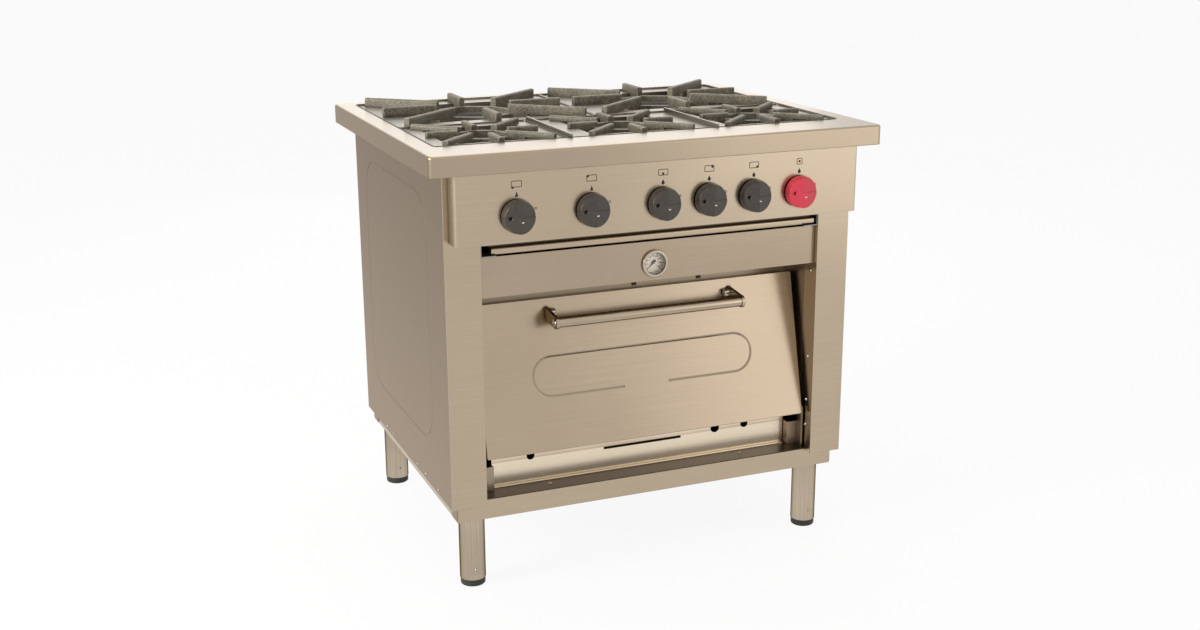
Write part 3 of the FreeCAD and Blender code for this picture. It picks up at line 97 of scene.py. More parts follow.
def ground_steel(name, pale, deep, along, roughness, edge=SHEET_EDGE, glance="#FFFFFF", flank=None,
                 brown_band=None, rising_shade=None, unshaded_openness=0.75):
    """Belt-ground metal: long streaks along one axis over broad, faint handling marks.

    The real scratches are about 0.1 mm wide, so the streaks are drawn coarser to show. Painted
    shade darkens the metal where two sheets meet in a corner.
    glance is the metal's tint where it is seen along the surface. flank is the colour and the tint
    of the faces turned to either side, painted darker as shade, and brown_band is a colour and the
    height range of a reddish-brown band across the sheet, fading upwards. rising_shade is a colour
    and the heights between which painted shade deepens upwards. unshaded_openness is how open a
    place has to be to stay free of the painted shade in corners.
    """
    steel = new_finish(name)
    place = add_node(steel, "ShaderNodeTexCoord")
    periods = [GRAIN_LENGTH if axis == along else GRAIN_WIDTH for axis in "XYZ"]
    grain_place = add_node(steel, "ShaderNodeMapping", {
        "Vector": place.outputs["Object"], "Scale": [1 / (period * MM) for period in periods]})
    grain = add_node(steel, "ShaderNodeTexNoise", {
        "Vector": grain_place.outputs["Vector"], "Scale": 1.0, "Detail": 3.0, "Roughness": 0.6})
    marks = add_node(steel, "ShaderNodeTexNoise", {
        "Vector": place.outputs["Object"], "Scale": 1 / (HANDLING_MARK * MM), "Detail": 4.0})
    blend = add_node(steel, "ShaderNodeMath", {
        0: grain.outputs["Fac"], 1: marks.outputs["Fac"], 2: 0.2}, operation="MULTIPLY_ADD")
    tint = add_node(steel, "ShaderNodeValToRGB", {"Fac": blend.outputs["Value"]},
                    stops=[(0.28, deep), (0.68, pale)])
    colour = tint.outputs["Color"]
    # A reddish-brown band across the sheet between two heights, fading upwards.
    if brown_band:
        band_colour, low, high = brown_band
        height = add_node(steel, "ShaderNodeSeparateXYZ", {"Vector": place.outputs["Object"]})
        wavering = add_node(steel, "ShaderNodeMath", {
            0: marks.outputs["Fac"], 1: BAND_WAVER * MM, 2: height.outputs["Z"]},
            operation="MULTIPLY_ADD")
        rising = add_node(steel, "ShaderNodeMapRange", {
            "Value": wavering.outputs["Value"], "From Min": low * MM, "From Max": high * MM,
            "To Min": 0.75, "To Max": 0.0})
        above = add_node(steel, "ShaderNodeMath", {0: height.outputs["Z"], 1: low * MM},
                         operation="GREATER_THAN")
        band_share = add_node(steel, "ShaderNodeMath", {
            0: rising.outputs["Result"], 1: above.outputs["Value"]}, operation="MULTIPLY")
        banded = add_node(steel, "ShaderNodeMix", {
            0: band_share.outputs["Value"], 6: colour, 7: linear(band_colour)}, data_type="RGBA")
        colour = banded.outputs[2]
    # Painted shade that deepens upwards between two heights.
    if rising_shade:
        upper_shade, thin, thick = rising_shade
        height = add_node(steel, "ShaderNodeSeparateXYZ", {"Vector": place.outputs["Object"]})
        shade_rise_mask = add_node(steel, "ShaderNodeMapRange", {
            "Value": height.outputs["Z"], "From Min": thin * MM, "From Max": thick * MM,
            "To Min": 0.0, "To Max": 0.65})
        rising_shaded = add_node(steel, "ShaderNodeMix", {
            0: shade_rise_mask.outputs["Result"], 6: colour, 7: linear(upper_shade)}, data_type="RGBA")
        colour = rising_shaded.outputs[2]
    glance_tint = linear(glance)
    # Faces turned to either side take a darker colour and tint: painted shade.
    if flank:
        dull, dull_glance = flank
        facing = add_node(steel, "ShaderNodeNewGeometry")
        sideways = add_node(steel, "ShaderNodeSeparateXYZ", {"Vector": facing.outputs["Normal"]})
        breadth = add_node(steel, "ShaderNodeMath", {0: sideways.outputs["X"]}, operation="ABSOLUTE")
        turned_away = add_node(steel, "ShaderNodeMapRange", {
            "Value": breadth.outputs["Value"], "From Min": 0.5, "From Max": 0.9})
        flank_shaded = add_node(steel, "ShaderNodeMix", {
            0: turned_away.outputs["Result"], 6: colour, 7: linear(dull)}, data_type="RGBA")
        tints = add_node(steel, "ShaderNodeMix", {
            0: turned_away.outputs["Result"], 6: glance_tint, 7: linear(dull_glance)},
            data_type="RGBA")
        colour = flank_shaded.outputs[2]
        glance_tint = tints.outputs[2]
    # Painted shade: ambient occlusion darkens corners, grooves and joints towards a dark brown.
    corners = add_node(steel, "ShaderNodeAmbientOcclusion", {"Distance": CORNER_SHADE_REACH * MM},
                       samples=6)
    corner_shade_mask = add_node(steel, "ShaderNodeMapRange", {
        "Value": corners.outputs["AO"], "From Min": unshaded_openness - 0.45, "From Max": unshaded_openness,
        "To Min": 0.85, "To Max": 0.0})
    corner_shaded = add_node(steel, "ShaderNodeMix", {
        0: corner_shade_mask.outputs["Result"], 6: colour, 7: linear(CORNER_SHADE)}, data_type="RGBA")
    polish = add_node(steel, "ShaderNodeMapRange", {
        "Value": blend.outputs["Value"], "From Min": 0.25, "From Max": 0.7,
        "To Min": roughness * 0.9, "To Max": roughness * 1.12})
    rounded = add_node(steel, "ShaderNodeBevel", {"Radius": edge * MM}, samples=4)
    scratch = add_node(steel, "ShaderNodeBump", {
        "Height": grain.outputs["Fac"], "Normal": rounded.outputs["Normal"],
        "Strength": 0.02, "Distance": SCRATCH_DEPTH * MM})
    shader = add_node(steel, "ShaderNodeBsdfPrincipled", {
        "Base Color": corner_shaded.outputs[2], "Roughness": polish.outputs["Result"],
        "Normal": scratch.outputs["Normal"], "Metallic": 1.0, "Specular Tint": glance_tint})
    add_node(steel, "ShaderNodeOutputMaterial", {"Surface": shader.outputs["BSDF"]})
    return steel


# Ground stainless gives a warm satin sheen with soft, wide reflections. The side panels are a darker
# copy of it, painted shade that deepens from the foot of the panel up to the hob, and the floor pan
# is a much darker copy, painted shade all over.
SIDE_SHADE = "#8C806E"
SIDE_SHADE_GLANCE = "#E9DFD8"
SIDE_RISING_SHADE = ("#5E5547", 200.0, 840.0)
front_steel = ground_steel("stainless_ground_front", "#BAA993", "#B0A08A", FRONT_GRAIN, roughness=0.24)
side_steel = ground_steel("stainless_ground_side", "#9E917E", "#978A77", SIDE_GRAIN, roughness=0.3,
                          glance=SIDE_SHADE_GLANCE, rising_shade=SIDE_RISING_SHADE)
shaded_steel = ground_steel("stainless_ground_floor", "#54493E", "#4A4037", FRONT_GRAIN, roughness=0.3)
dress(front_steel, "base_frame", "front_posts", "back_panel")
dress(side_steel, "side_panels")
dress(shaded_steel, "floor_pan")

# Rail caps: each open end of the front and back rails is closed with a cap of thin stainless sheet,
# pressed to a low dome with round corners and driven in.
CAP_CORNER = 4.0
CAP_STEPS = ((0.4, 0.0), (0.2, 0.9), (2.0, 1.5))


def add_rings(build, rings, closed=False):
    """Skin rings of points, in millimetres, with faces; a ring of one point is a pole."""
    made = [[build.verts.new(Vector(point) * MM) for point in ring] for ring in rings]
    if closed:
        made.append(made[0])
    for near, far in zip(made, made[1:]):
        for step in range(max(len(near), len(far))):
            corners = (near[(step - 1) % len(near)], near[step % len(near)],
                       far[step % len(far)], far[(step - 1) % len(far)])
            build.faces.new(list(dict.fromkeys(corners)))


def add_piece(name, build, finish, crease=30.0):
    """Turn a mesh into a piece of the range: soft shading between creases, and one finish."""
    bmesh.ops.recalc_face_normals(build, faces=build.faces)
    for face in build.faces:
        face.smooth = True
    for edge in build.edges:
        edge.smooth = edge.calc_face_angle(0.0) < math.radians(crease)
    mesh = bpy.data.meshes.new(name)
    build.to_mesh(mesh)
    build.free()
    mesh.materials.append(finish)
    piece = bpy.data.objects.new(name, mesh)
    bpy.context.scene.collection.objects.link(piece)
    return piece


def clock(angle, radius):
    """Across and up from a dial's middle, at an angle clockwise from the top."""
    return radius * math.sin(math.radians(angle)), radius * math.cos(math.radians(angle))


def rounded_rectangle(width, height, corner, segments=4):
    """An outline with round corners, run clockwise from the top right."""
    outline = []
    for start, side, up in ((0, 1, 1), (90, 1, -1), (180, -1, -1), (270, -1, 1)):
        for step in range(segments + 1):
            across, rise = clock(start + 90 * step / segments, corner)
            outline.append((side * (width / 2 - corner) + across, up * (height / 2 - corner) + rise))
    return outline


frame_low, frame_high = (Vector(corner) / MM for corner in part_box("base_frame"))
rail = frame_high.z - frame_low.z
rail_z = frame_low.z + rail / 2
caps_build = bmesh.new()
for side in (-1, 1):
    for rail_y in (frame_low.y + rail / 2, frame_high.y - rail / 2):
        cap_rings = [[(side * frame_high.x, rail_y, rail_z)]]
        for inset, proud in CAP_STEPS:
            cap_outline = rounded_rectangle(rail - inset * 2, rail - inset * 2, CAP_CORNER)
            cap_x = side * (frame_high.x + proud)
            cap_rings.append([(cap_x, rail_y + y, rail_z + z) for y, z in cap_outline])
        cap_rings.append([(cap_x, rail_y, rail_z)])
        add_rings(caps_build, cap_rings)
rail_caps = add_piece("rail_caps", caps_build, side_steel)
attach(rail_caps, "range_body")

# Legs and feet: welded tube, buffed so that it shows sharper streaks of light than the sheets,
# with a foot of black moulded rubber that screws up and down in the tube's plug.
RUBBER_GRIT = 2.5
FEET = ("front_left_foot", "front_right_foot", "back_left_foot", "back_right_foot")
tube_steel = ground_steel("stainless_buffed_tube", "#CDBEA8", "#978A77", "Z", roughness=0.15,
                          glance="#4E443A")
dress(tube_steel, "leg_tubes")


def mottled(name, pale, deep, speck, roughness, relief=None, edge=None, stops=(0.3, 0.7), detail=2.0,
            tangle=0.0, coat=0.0):
    """A skin of one colour that varies in specks of a given size: rubber, enamel, ink or resin.

    relief is the strength and the height of the specks' bumps, edge the radius of moulded edges,
    and stops are the shares of the noise up to which it is deep and from which it is pale.
    tangle twists the specks into fibres, and coat lays clear gloss over them.
    """
    skin = new_finish(name)
    place = add_node(skin, "ShaderNodeTexCoord")
    specks = add_node(skin, "ShaderNodeTexNoise", {
        "Vector": place.outputs["Object"], "Scale": 1 / (speck * MM), "Detail": detail,
        "Distortion": tangle})
    tint = add_node(skin, "ShaderNodeValToRGB", {"Fac": specks.outputs["Fac"]},
                    stops=list(zip(stops, (deep, pale))))
    surface = {"Base Color": tint.outputs["Color"], "Roughness": roughness, "Coat Weight": coat}
    if relief:
        strength, height = relief
        bumps = {"Height": specks.outputs["Fac"], "Strength": strength, "Distance": height * MM}
        if edge:
            rounded = add_node(skin, "ShaderNodeBevel", {"Radius": edge * MM}, samples=4)
            bumps["Normal"] = rounded.outputs["Normal"]
        surface["Normal"] = add_node(skin, "ShaderNodeBump", bumps).outputs["Normal"]
    shader = add_node(skin, "ShaderNodeBsdfPrincipled", surface)
    add_node(skin, "ShaderNodeOutputMaterial", {"Surface": shader.outputs["BSDF"]})
    return skin


# Moulded rubber is matt and nearly black, with a fine grain from its mould.
rubber = mottled("rubber_moulded_black", "#33302B", "#1E1C19", RUBBER_GRIT, roughness=0.62,
                 relief=(0.3, 0.3), detail=3.0)
dress(rubber, *FEET)

# Oven: a box of enamelled sheet packed round with mineral wool, with ledges for a plated wire
# rack and a cast tube burner on the floor pan below it.
ENAMEL_SPECKLE = 3.0
WOOL_TUFT = 6.0
SAND_PRINT = 0.6
GRITS_PER_PATCH = 12
WORN_AND_LIT_EDGE = 1.6
IRON_SHADE_REACH = 16.0
IRON_SHADE = "#241E19"

# Vitreous enamel is a glassy black coat with pale flecks fired into it.
enamel = mottled("vitreous_enamel_speckled", "#6E6E70", "#1C1C1F", ENAMEL_SPECKLE, roughness=0.25,
                 relief=(0.1, 0.2), stops=(0.6, 0.72), coat=0.4)
dress(enamel, "oven_floor", "oven_ceiling", "oven_side_walls", "oven_back_wall")

# Mineral wool is a dull straw-coloured mat of tangled fibre.
wool = mottled("mineral_wool_matted", "#C9B98A", "#9C8A5E", WOOL_TUFT, roughness=0.95,
               relief=(0.8, 2.0), detail=6.0, tangle=2.0)
dress(wool, "oven_insulation", "door_insulation")


def cast_iron(name, pale, deep, worn_and_lit, roughness, grit, gloss):
    """Sand-cast iron: a dull skin with the sand's print, painted shade in its corners, and pale edges
    that are partly wear and partly a painted highlight.

    The sand's grains are about 0.3 mm, so they are drawn coarser to show.
    """
    iron = new_finish(name)
    place = add_node(iron, "ShaderNodeTexCoord")
    sand = add_node(iron, "ShaderNodeTexNoise", {
        "Vector": place.outputs["Object"], "Scale": 1 / (grit * MM), "Detail": 5.0,
        "Roughness": 0.7})
    patches = add_node(iron, "ShaderNodeTexNoise", {
        "Vector": place.outputs["Object"], "Scale": 1 / (grit * GRITS_PER_PATCH * MM), "Detail": 3.0})
    blend = add_node(iron, "ShaderNodeMath", {
        0: patches.outputs["Fac"], 1: 0.3, 2: sand.outputs["Fac"]}, operation="MULTIPLY_ADD")
    tint = add_node(iron, "ShaderNodeValToRGB", {"Fac": blend.outputs["Value"]},
                    stops=[(0.5, deep), (0.74, pale)])
    # Painted shade: ambient occlusion darkens nooks and corners towards near black.
    corners = add_node(iron, "ShaderNodeAmbientOcclusion", {"Distance": IRON_SHADE_REACH * MM},
                       samples=6)
    iron_shade_mask = add_node(iron, "ShaderNodeMapRange", {
        "Value": corners.outputs["AO"], "From Min": 0.25, "From Max": 0.8,
        "To Min": 0.9, "To Max": 0.0})
    iron_shaded = add_node(iron, "ShaderNodeMix", {
        0: iron_shade_mask.outputs["Result"], 6: tint.outputs["Color"], 7: linear(IRON_SHADE)}, data_type="RGBA")
    # Edges are painted paler: partly wear of the coat, partly a painted highlight.
    rounded = add_node(iron, "ShaderNodeBevel", {"Radius": WORN_AND_LIT_EDGE * MM}, samples=6)
    flat = add_node(iron, "ShaderNodeNewGeometry")
    turn = add_node(iron, "ShaderNodeVectorMath", {
        0: rounded.outputs["Normal"], 1: flat.outputs["True Normal"]}, operation="DOT_PRODUCT")
    rubbed_and_lit = add_node(iron, "ShaderNodeMapRange", {
        "Value": turn.outputs["Value"], "From Min": 0.99, "From Max": 0.86,
        "To Min": 0.0, "To Max": 0.8})
    edged = add_node(iron, "ShaderNodeMix", {
        0: rubbed_and_lit.outputs["Result"], 6: iron_shaded.outputs[2], 7: linear(worn_and_lit)}, data_type="RGBA")
    bump = add_node(iron, "ShaderNodeBump", {
        "Height": sand.outputs["Fac"], "Normal": rounded.outputs["Normal"],
        "Strength": 0.5, "Distance": SAND_PRINT * MM})
    shader = add_node(iron, "ShaderNodeBsdfPrincipled", {
        "Base Color": edged.outputs[2], "Normal": bump.outputs["Normal"],
        "Roughness": roughness, "Metallic": 0.2, "Specular IOR Level": gloss})
    add_node(iron, "ShaderNodeOutputMaterial", {"Surface": shader.outputs["BSDF"]})
    return iron


# Burner iron is black and dead matt, and plated wire is pale and bright.
burner_iron = cast_iron("cast_iron_black", "#3B3833", "#1F1D1A", "#4A463F", roughness=0.75, grit=2.0,
                        gloss=0.15)
plated = ground_steel("steel_wire_plated", "#CBC5BA", "#ADA79C", "Y", roughness=0.17, edge=0.4)
dress(burner_iron, "oven_burner", "burner_bodies")
dress(plated, "rack_rails", "oven_rack", "hinge_pins")

# Oven mouth and burner fascia: the plate that the door shuts against, darkened with painted shade,
# the bright plate below it with its lighting slot, and the folded boxes that carry the hinge, in the
# same painted shade. Two spring clips on the mouth plate hold the shut door.
DOOR_FOOT_Y = -283.25
DOOR_FOOT_Z = 256.5
DOOR_LEAN = math.radians(13.2)
MOUTH_DEPTH = 40.5
CLIP_PLACES = (8.6, 149.2)
CLIP_PRONG = 2.6
CLIP_PITCH = 5.4
CLIP_LOW = 295.6
CLIP_PROFILE = ((0.0, 0.0), (3.4, 2.0), (3.4, 5.0), (1.2, 8.0), (1.2, 15.4), (0.0, 15.4))
CLIP_MIDDLE = (0.4, 7.6)
SLOT_TOP = 231.0
BAND_HEIGHT = 16.0
mouth_steel = ground_steel("stainless_ground_shaded_mouth", "#A09180", "#948572", FRONT_GRAIN, roughness=0.32)
dress(mouth_steel, "oven_mouth_frame", "hinge_brackets")

# The bright plate is a paler copy of the front steel, painted light, and just above its lighting
# slot it turns reddish brown, fading upwards.
pale_banded_steel = ground_steel("stainless_ground_pale_banded", "#E8D9C2", "#DCCDB6", FRONT_GRAIN,
                            roughness=0.25, brown_band=("#8A5F45", SLOT_TOP, SLOT_TOP + BAND_HEIGHT))
dress(pale_banded_steel, "burner_fascia")


def leaned(x, depth, rise):
    """A point on the leaning door plane: depth into the oven, rise up the door."""
    return Vector((x, DOOR_FOOT_Y + depth * math.cos(DOOR_LEAN) + rise * math.sin(DOOR_LEAN),
                   DOOR_FOOT_Z - depth * math.sin(DOOR_LEAN) + rise * math.cos(DOOR_LEAN)))


def capped(left, right, section, middle):
    """The rings of a bar along X, as places and sections: each end is closed from its middle."""
    return ((left, [middle]), (left, section), (right, section), (right, [middle]))


# Blued spring steel is dark, with a dull brownish sheen.
spring_steel = ground_steel("spring_steel_blued", "#5B544B", "#433D36", "Z", roughness=0.35, edge=0.3)
clip_build = bmesh.new()
for clip_x in CLIP_PLACES:
    for prong_x in (clip_x - CLIP_PITCH / 2, clip_x + CLIP_PITCH / 2):
        prong_rings = []
        for x, profile in capped(prong_x - CLIP_PRONG / 2, prong_x + CLIP_PRONG / 2, CLIP_PROFILE,
                                 CLIP_MIDDLE):
            prong_rings.append([leaned(x, MOUTH_DEPTH - proud, CLIP_LOW + rise)
                                for proud, rise in profile])
        add_rings(clip_build, prong_rings)
door_clips = add_piece("door_clips", clip_build, spring_steel)
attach(door_clips, "range_body")

# Oven door: a folded skin with a racetrack groove pressed in it, over a wool-packed liner. The
# tube handle is held between two end plates by a screw at each end and a boss at each root.
HANDLE_PLATE = 6.0
HANDLE_STANDOFF = 52.0
HANDLE_RISE = 246.02
HANDLE_ROOT_RISE = 264.02
END_SCREW = ((0, -0.4), (8.6, -0.4), (8.6, 1.0), (7.2, 2.2), (3.6, 2.6), (3.0, 1.2), (0, 0.8))
ROOT_BOSS = ((0, 0), (7.6, 0), (7.6, 10.5), (6.4, 12.0), (0, 12.0))
BOSS_STANDOFF = 9.0
# The door takes the painted corner shade even in shallow hollows, so that its pressed groove shows dark.
door_steel = ground_steel("stainless_ground_door", "#B2A18B", "#A89782", FRONT_GRAIN,
                          roughness=0.23, unshaded_openness=0.97)
dress(door_steel, "door_skin", "door_liner")

# A buffed tube gives long, bright streaks along its length.
handle_steel = ground_steel("stainless_buffed_handle", "#BEAF9A", "#9C8D7A", FRONT_GRAIN,
                            roughness=0.17, glance="#A4978A")
dress(handle_steel, "door_handle")


def turned(place, axis, profile, segments=32):
    """Rings of a turned solid: (radius, height) pairs along an axis from a place."""
    along = Vector(axis).normalized()
    across = along.orthogonal().normalized()
    other = along.cross(across)
    rings = []
    for radius, height in profile:
        middle = Vector(place) + along * height
        turns = [math.tau * step / segments for step in range(segments)] if radius else [0.0]
        rings.append([middle + (across * math.cos(turn) + other * math.sin(turn)) * radius
                      for turn in turns])
    return rings


handle_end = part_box("door_handle")[1][0] / MM
handle_build = bmesh.new()
for side in (-1, 1):
    screw_place = leaned(side * handle_end, -HANDLE_STANDOFF, HANDLE_RISE)
    add_rings(handle_build, turned(screw_place, (side, 0, 0), END_SCREW))
    boss_place = leaned(side * (handle_end - HANDLE_PLATE), -BOSS_STANDOFF, HANDLE_ROOT_RISE)
    add_rings(handle_build, turned(boss_place, (-side, 0, 0), ROOT_BOSS))
handle_screws = add_piece("handle_screws", handle_build, plated)
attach(handle_screws, "oven_door")

# Drip tray: a folded pan with a rolled lip at its front. The lip's sheet runs on up behind it as a
# low wall, hemmed along its top, which takes the dark floor-pan steel as painted shade.
LIP_DEPTH = 12.0
LIP_HEIGHT = 13.0
WALL_SECTION = ((0.0, -0.5), (-1.6, -0.5), (-1.6, 9.4), (-1.2, 10.4), (-0.4, 10.4), (0.0, 9.4))
WALL_MIDDLE = (-0.8, 5.0)
WALL_END_GAP = 1.5
dress(front_steel, "drip_tray")
drip_low, drip_high = (Vector(corner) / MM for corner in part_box("drip_tray"))
wall_y = drip_low.y + LIP_DEPTH
wall_z = drip_low.z + LIP_HEIGHT
wall_rings = []
for x, section in capped(drip_low.x + WALL_END_GAP, drip_high.x - WALL_END_GAP, WALL_SECTION,
                         WALL_MIDDLE):
    wall_rings.append([(x, wall_y + depth, wall_z + rise) for depth, rise in section])
wall_build = bmesh.new()
add_rings(wall_build, wall_rings)
tray_front_wall = add_piece("tray_front_wall", wall_build, shaded_steel)
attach(tray_front_wall, "drip_tray")

# Fascia above the door: a folded plate with a dial thermometer let into it. The dial is printed
# with a scale, plain numbers and a red band at its hot end.
DIAL_THICKNESS = 1.0
PRINT_THICKNESS = 0.12
SCALE_START = -135.0
SCALE_STEP = 33.0
SCALE_NUMBERS = ("40", "80", "120", "160", "200", "240", "280", "320")
TICKS_PER_NUMBER = 2
TICK_OUTER = 19.2
TICK_LONG = 4.0
TICK_SHORT = 1.4
TICK_WIDTH = 1.8
NUMBER_RADIUS = 12.9
NUMBER_HEIGHT = 4.8
RED_BAND = (16.0, 17.2)
RED_FROM = 96.0
BAND_STEPS = 8
GLASS_SMEAR = 12.0
INK_MESH = 0.8
# The fascia's steel is a darker copy of the front steel: painted shade under the panel's overhang.
fascia_steel = ground_steel("stainless_ground_fascia", "#AE9D88", "#A59480", FRONT_GRAIN, roughness=0.25)
dress(fascia_steel, "thermometer_fascia")

# Spun and polished steel gives the bezel a bright, warm edge.
bezel_steel = ground_steel("stainless_spun_bezel", "#CDBFAC", "#B0A290", "Y", roughness=0.16, edge=1.2)
dress(bezel_steel, "thermometer_case")

# The dial is silvered aluminium, pale and satin.
dial_silver = ground_steel("aluminium_silvered_dial", "#E0D5C6", "#D3C7B7", FRONT_GRAIN,
                           roughness=0.5, unshaded_openness=0.5)
dress(dial_silver, "thermometer_dial")

# Thin float glass is clear, with a breath of grease on it.
glass = new_finish("glass_clear_flat")
glass_place = add_node(glass, "ShaderNodeTexCoord")
glass_smear = add_node(glass, "ShaderNodeTexNoise", {
    "Vector": glass_place.outputs["Object"], "Scale": 1 / (GLASS_SMEAR * MM), "Detail": 2.0})
glass_polish = add_node(glass, "ShaderNodeMapRange", {
    "Value": glass_smear.outputs["Fac"], "To Min": 0.0, "To Max": 0.08})
glass_shader = add_node(glass, "ShaderNodeBsdfPrincipled", {
    "Base Color": linear("#F4F6F4"), "Roughness": glass_polish.outputs["Result"],
    "IOR": 1.5, "Alpha": 0.05})
add_node(glass, "ShaderNodeOutputMaterial", {"Surface": glass_shader.outputs["BSDF"]})
dress(glass, "thermometer_glass")

# Screen-printed ink is flat and matt, a little uneven where the mesh left it thin.
black_ink = mottled("ink_printed_dark", "#241F1A", "#181410", INK_MESH, roughness=0.6)
red_ink = mottled("ink_printed_red", "#A8362F", "#8F2B26", INK_MESH, roughness=0.6)
dress(black_ink, "thermometer_needle")


def middle_of(node):
    """The middle of a CAD node's box, in millimetres."""
    low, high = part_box(node)
    return (Vector(low) + Vector(high)) / (2 * MM)


def plate(outline, x, z, front, back):
    """Rings of a flat mark that faces the front: its outline round a place, between two depths."""
    return [
        [(x, front, z)],
        [(x + across, front, z + up) for across, up in outline],
        [(x + across, back, z + up) for across, up in outline],
        [(x, back, z)],
    ]


dial_z = middle_of("thermometer_dial").z
dial_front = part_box("thermometer_dial")[1][1] / MM - DIAL_THICKNESS
print_front = dial_front - PRINT_THICKNESS
dial_build = bmesh.new()
for number in range(TICKS_PER_NUMBER * len(SCALE_NUMBERS) + 1):
    angle = SCALE_START + SCALE_STEP * number / TICKS_PER_NUMBER
    length = TICK_SHORT if number % TICKS_PER_NUMBER else TICK_LONG
    across, up = clock(angle, TICK_OUTER - length / 2)
    sideways = Vector(clock(angle + 90, TICK_WIDTH / 2))
    outward = Vector(clock(angle, length / 2))
    tick = [outward + sideways, outward - sideways, -outward - sideways, -outward + sideways]
    add_rings(dial_build, plate(tick, across, dial_z + up, print_front, dial_front))
upright = Matrix.Rotation(math.radians(90), 4, "X")
for number, label in enumerate(SCALE_NUMBERS, start=1):
    letters = bpy.data.curves.new("dial_number", "FONT")
    letters.body = label
    letters.size = NUMBER_HEIGHT * MM
    letters.align_x = "CENTER"
    letters.align_y = "CENTER"
    letters.extrude = PRINT_THICKNESS / 2 * MM
    holder = bpy.data.objects.new("dial_number", letters)
    across, up = clock(SCALE_START + SCALE_STEP * number, NUMBER_RADIUS)
    number_mesh = bpy.data.meshes.new_from_object(holder)
    number_place = Vector((across, dial_front - PRINT_THICKNESS / 2, dial_z + up)) * MM
    number_mesh.transform(Matrix.Translation(number_place) @ upright)
    dial_build.from_mesh(number_mesh)
    bpy.data.meshes.remove(number_mesh)
    bpy.data.objects.remove(holder)
    bpy.data.curves.remove(letters)
dial_print = add_piece("dial_print", dial_build, black_ink)
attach(dial_print, "range_body")

band_end = SCALE_START + SCALE_STEP * len(SCALE_NUMBERS)
band_rings = []
for step in range(BAND_STEPS + 1):
    angle = RED_FROM + (band_end - RED_FROM) * step / BAND_STEPS
    inner, outer = (Vector(clock(angle, radius)) for radius in RED_BAND)
    section = ((inner, print_front), (outer, print_front), (outer, dial_front), (inner, dial_front))
    band_rings.append([Vector((flat.x, depth, dial_z + flat.y)) for flat, depth in section])
band_rings.insert(0, [sum(band_rings[0], Vector()) / len(section)])
band_rings.append([sum(band_rings[-1], Vector()) / len(section)])
band_build = bmesh.new()
add_rings(band_build, band_rings)
dial_band = add_piece("dial_band", band_build, red_ink)
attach(dial_band, "range_body")

# Gas train: a square steel header with brass taps, bent brass feed pipes and a galvanised supply.
# It is shut in behind the control panel, and shows only from below and through the tray slot.
# Machined brass is yellow and satin, and hot-dipped zinc is a dull, cool grey.
brass = ground_steel("brass_machined", "#C9A65E", "#AA8946", "Z", roughness=0.25)
zinc = ground_steel("steel_galvanised", "#A3A5A2", "#8A8C8A", "X", roughness=0.45)
dress(brass, "gas_taps", "feed_pipes")
dress(zinc, "gas_manifold", "deck_bearers", "tray_runners")
dress(plated, *["spindle_%d" % number for number in range(1, 7)])

# Hob: a folded rim round pressed spill trays, cast burners with slotted crowns that stand in the
# trays' recesses, and lift-off pan supports of cast iron, worn bright along their edges.
RIM_ROUND = 3.0
CAP_HEIGHT = 12.0
CROWN_HEIGHT = 5.0
CROWN_INSET = 1.0
CROWN_FOOT_INSET = 8.0
LID_EDGE = ((0.0, 9.0), (1.0, 11.0), (3.5, 12.0))
DISH_EDGE_SHARE = 0.6
DISH_FLOOR_SHARE = 0.52
DISH_DEPTH = 1.0
FLAME_SLOT = 3.0
SLOT_PITCH = 9.0
STEPS_PER_SLOT = 4
REAR_CAP_RADIUS = 52.0
FRONT_CAP_RADIUS = 33.0
GRATES = ("front_left_grate", "back_left_grate", "front_middle_grate", "back_right_grate",
          "front_right_grate")
# The rim's side skirts take the side panels' painted shade.
rim_steel = ground_steel("stainless_ground_hob", "#AE9E89", "#A59580", FRONT_GRAIN, roughness=0.25,
                         edge=RIM_ROUND, flank=(SIDE_SHADE, SIDE_SHADE_GLANCE))
dress(rim_steel, "hob_rim")

# The trays are scoured, so they are greyer, rougher and more streaked than the rim.
tray_steel = ground_steel("stainless_scoured_tray", "#B4AD9F", "#777063", FRONT_GRAIN, roughness=0.34)
dress(tray_steel, "spill_trays")

# The supports have a thin grey-brown coat over the iron, which rubs off first at the edges; their
# pale edges are partly that wear and partly a painted highlight.
grate_iron = cast_iron("cast_iron_dull_coat", "#857E6C", "#453E34", "#DCD6C4", roughness=0.5,
                       grit=3.0, gloss=0.4)
dress(grate_iron, *GRATES)


def burner_cap(place, radius):
    """Rings of a burner crown: a slotted wall under a lid with a dished middle."""
    steps = round(math.tau * radius / SLOT_PITCH) * STEPS_PER_SLOT
    wall = radius - CROWN_INSET
    profile = [(radius - CROWN_FOOT_INSET, 0, 0), (wall, 0, FLAME_SLOT),
               (wall, CROWN_HEIGHT, FLAME_SLOT), (radius, CROWN_HEIGHT, 0)]
    profile += [(radius - inset, height, 0) for inset, height in LID_EDGE]
    profile += [(radius * DISH_EDGE_SHARE, CAP_HEIGHT, 0),
                (radius * DISH_FLOOR_SHARE, CAP_HEIGHT - DISH_DEPTH, 0)]
    rings = [[place]]
    for reach, height, notch in profile:
        ring = []
        for step in range(steps):
            turn = math.tau * step / steps
            slotted = step % STEPS_PER_SLOT >= STEPS_PER_SLOT / 2
            out = reach - (notch if slotted else 0)
            ring.append(place + Vector((out * math.cos(turn), out * math.sin(turn), height)))
        rings.append(ring)
    rings.append([place + Vector((0, 0, CAP_HEIGHT - DISH_DEPTH))])
    return rings


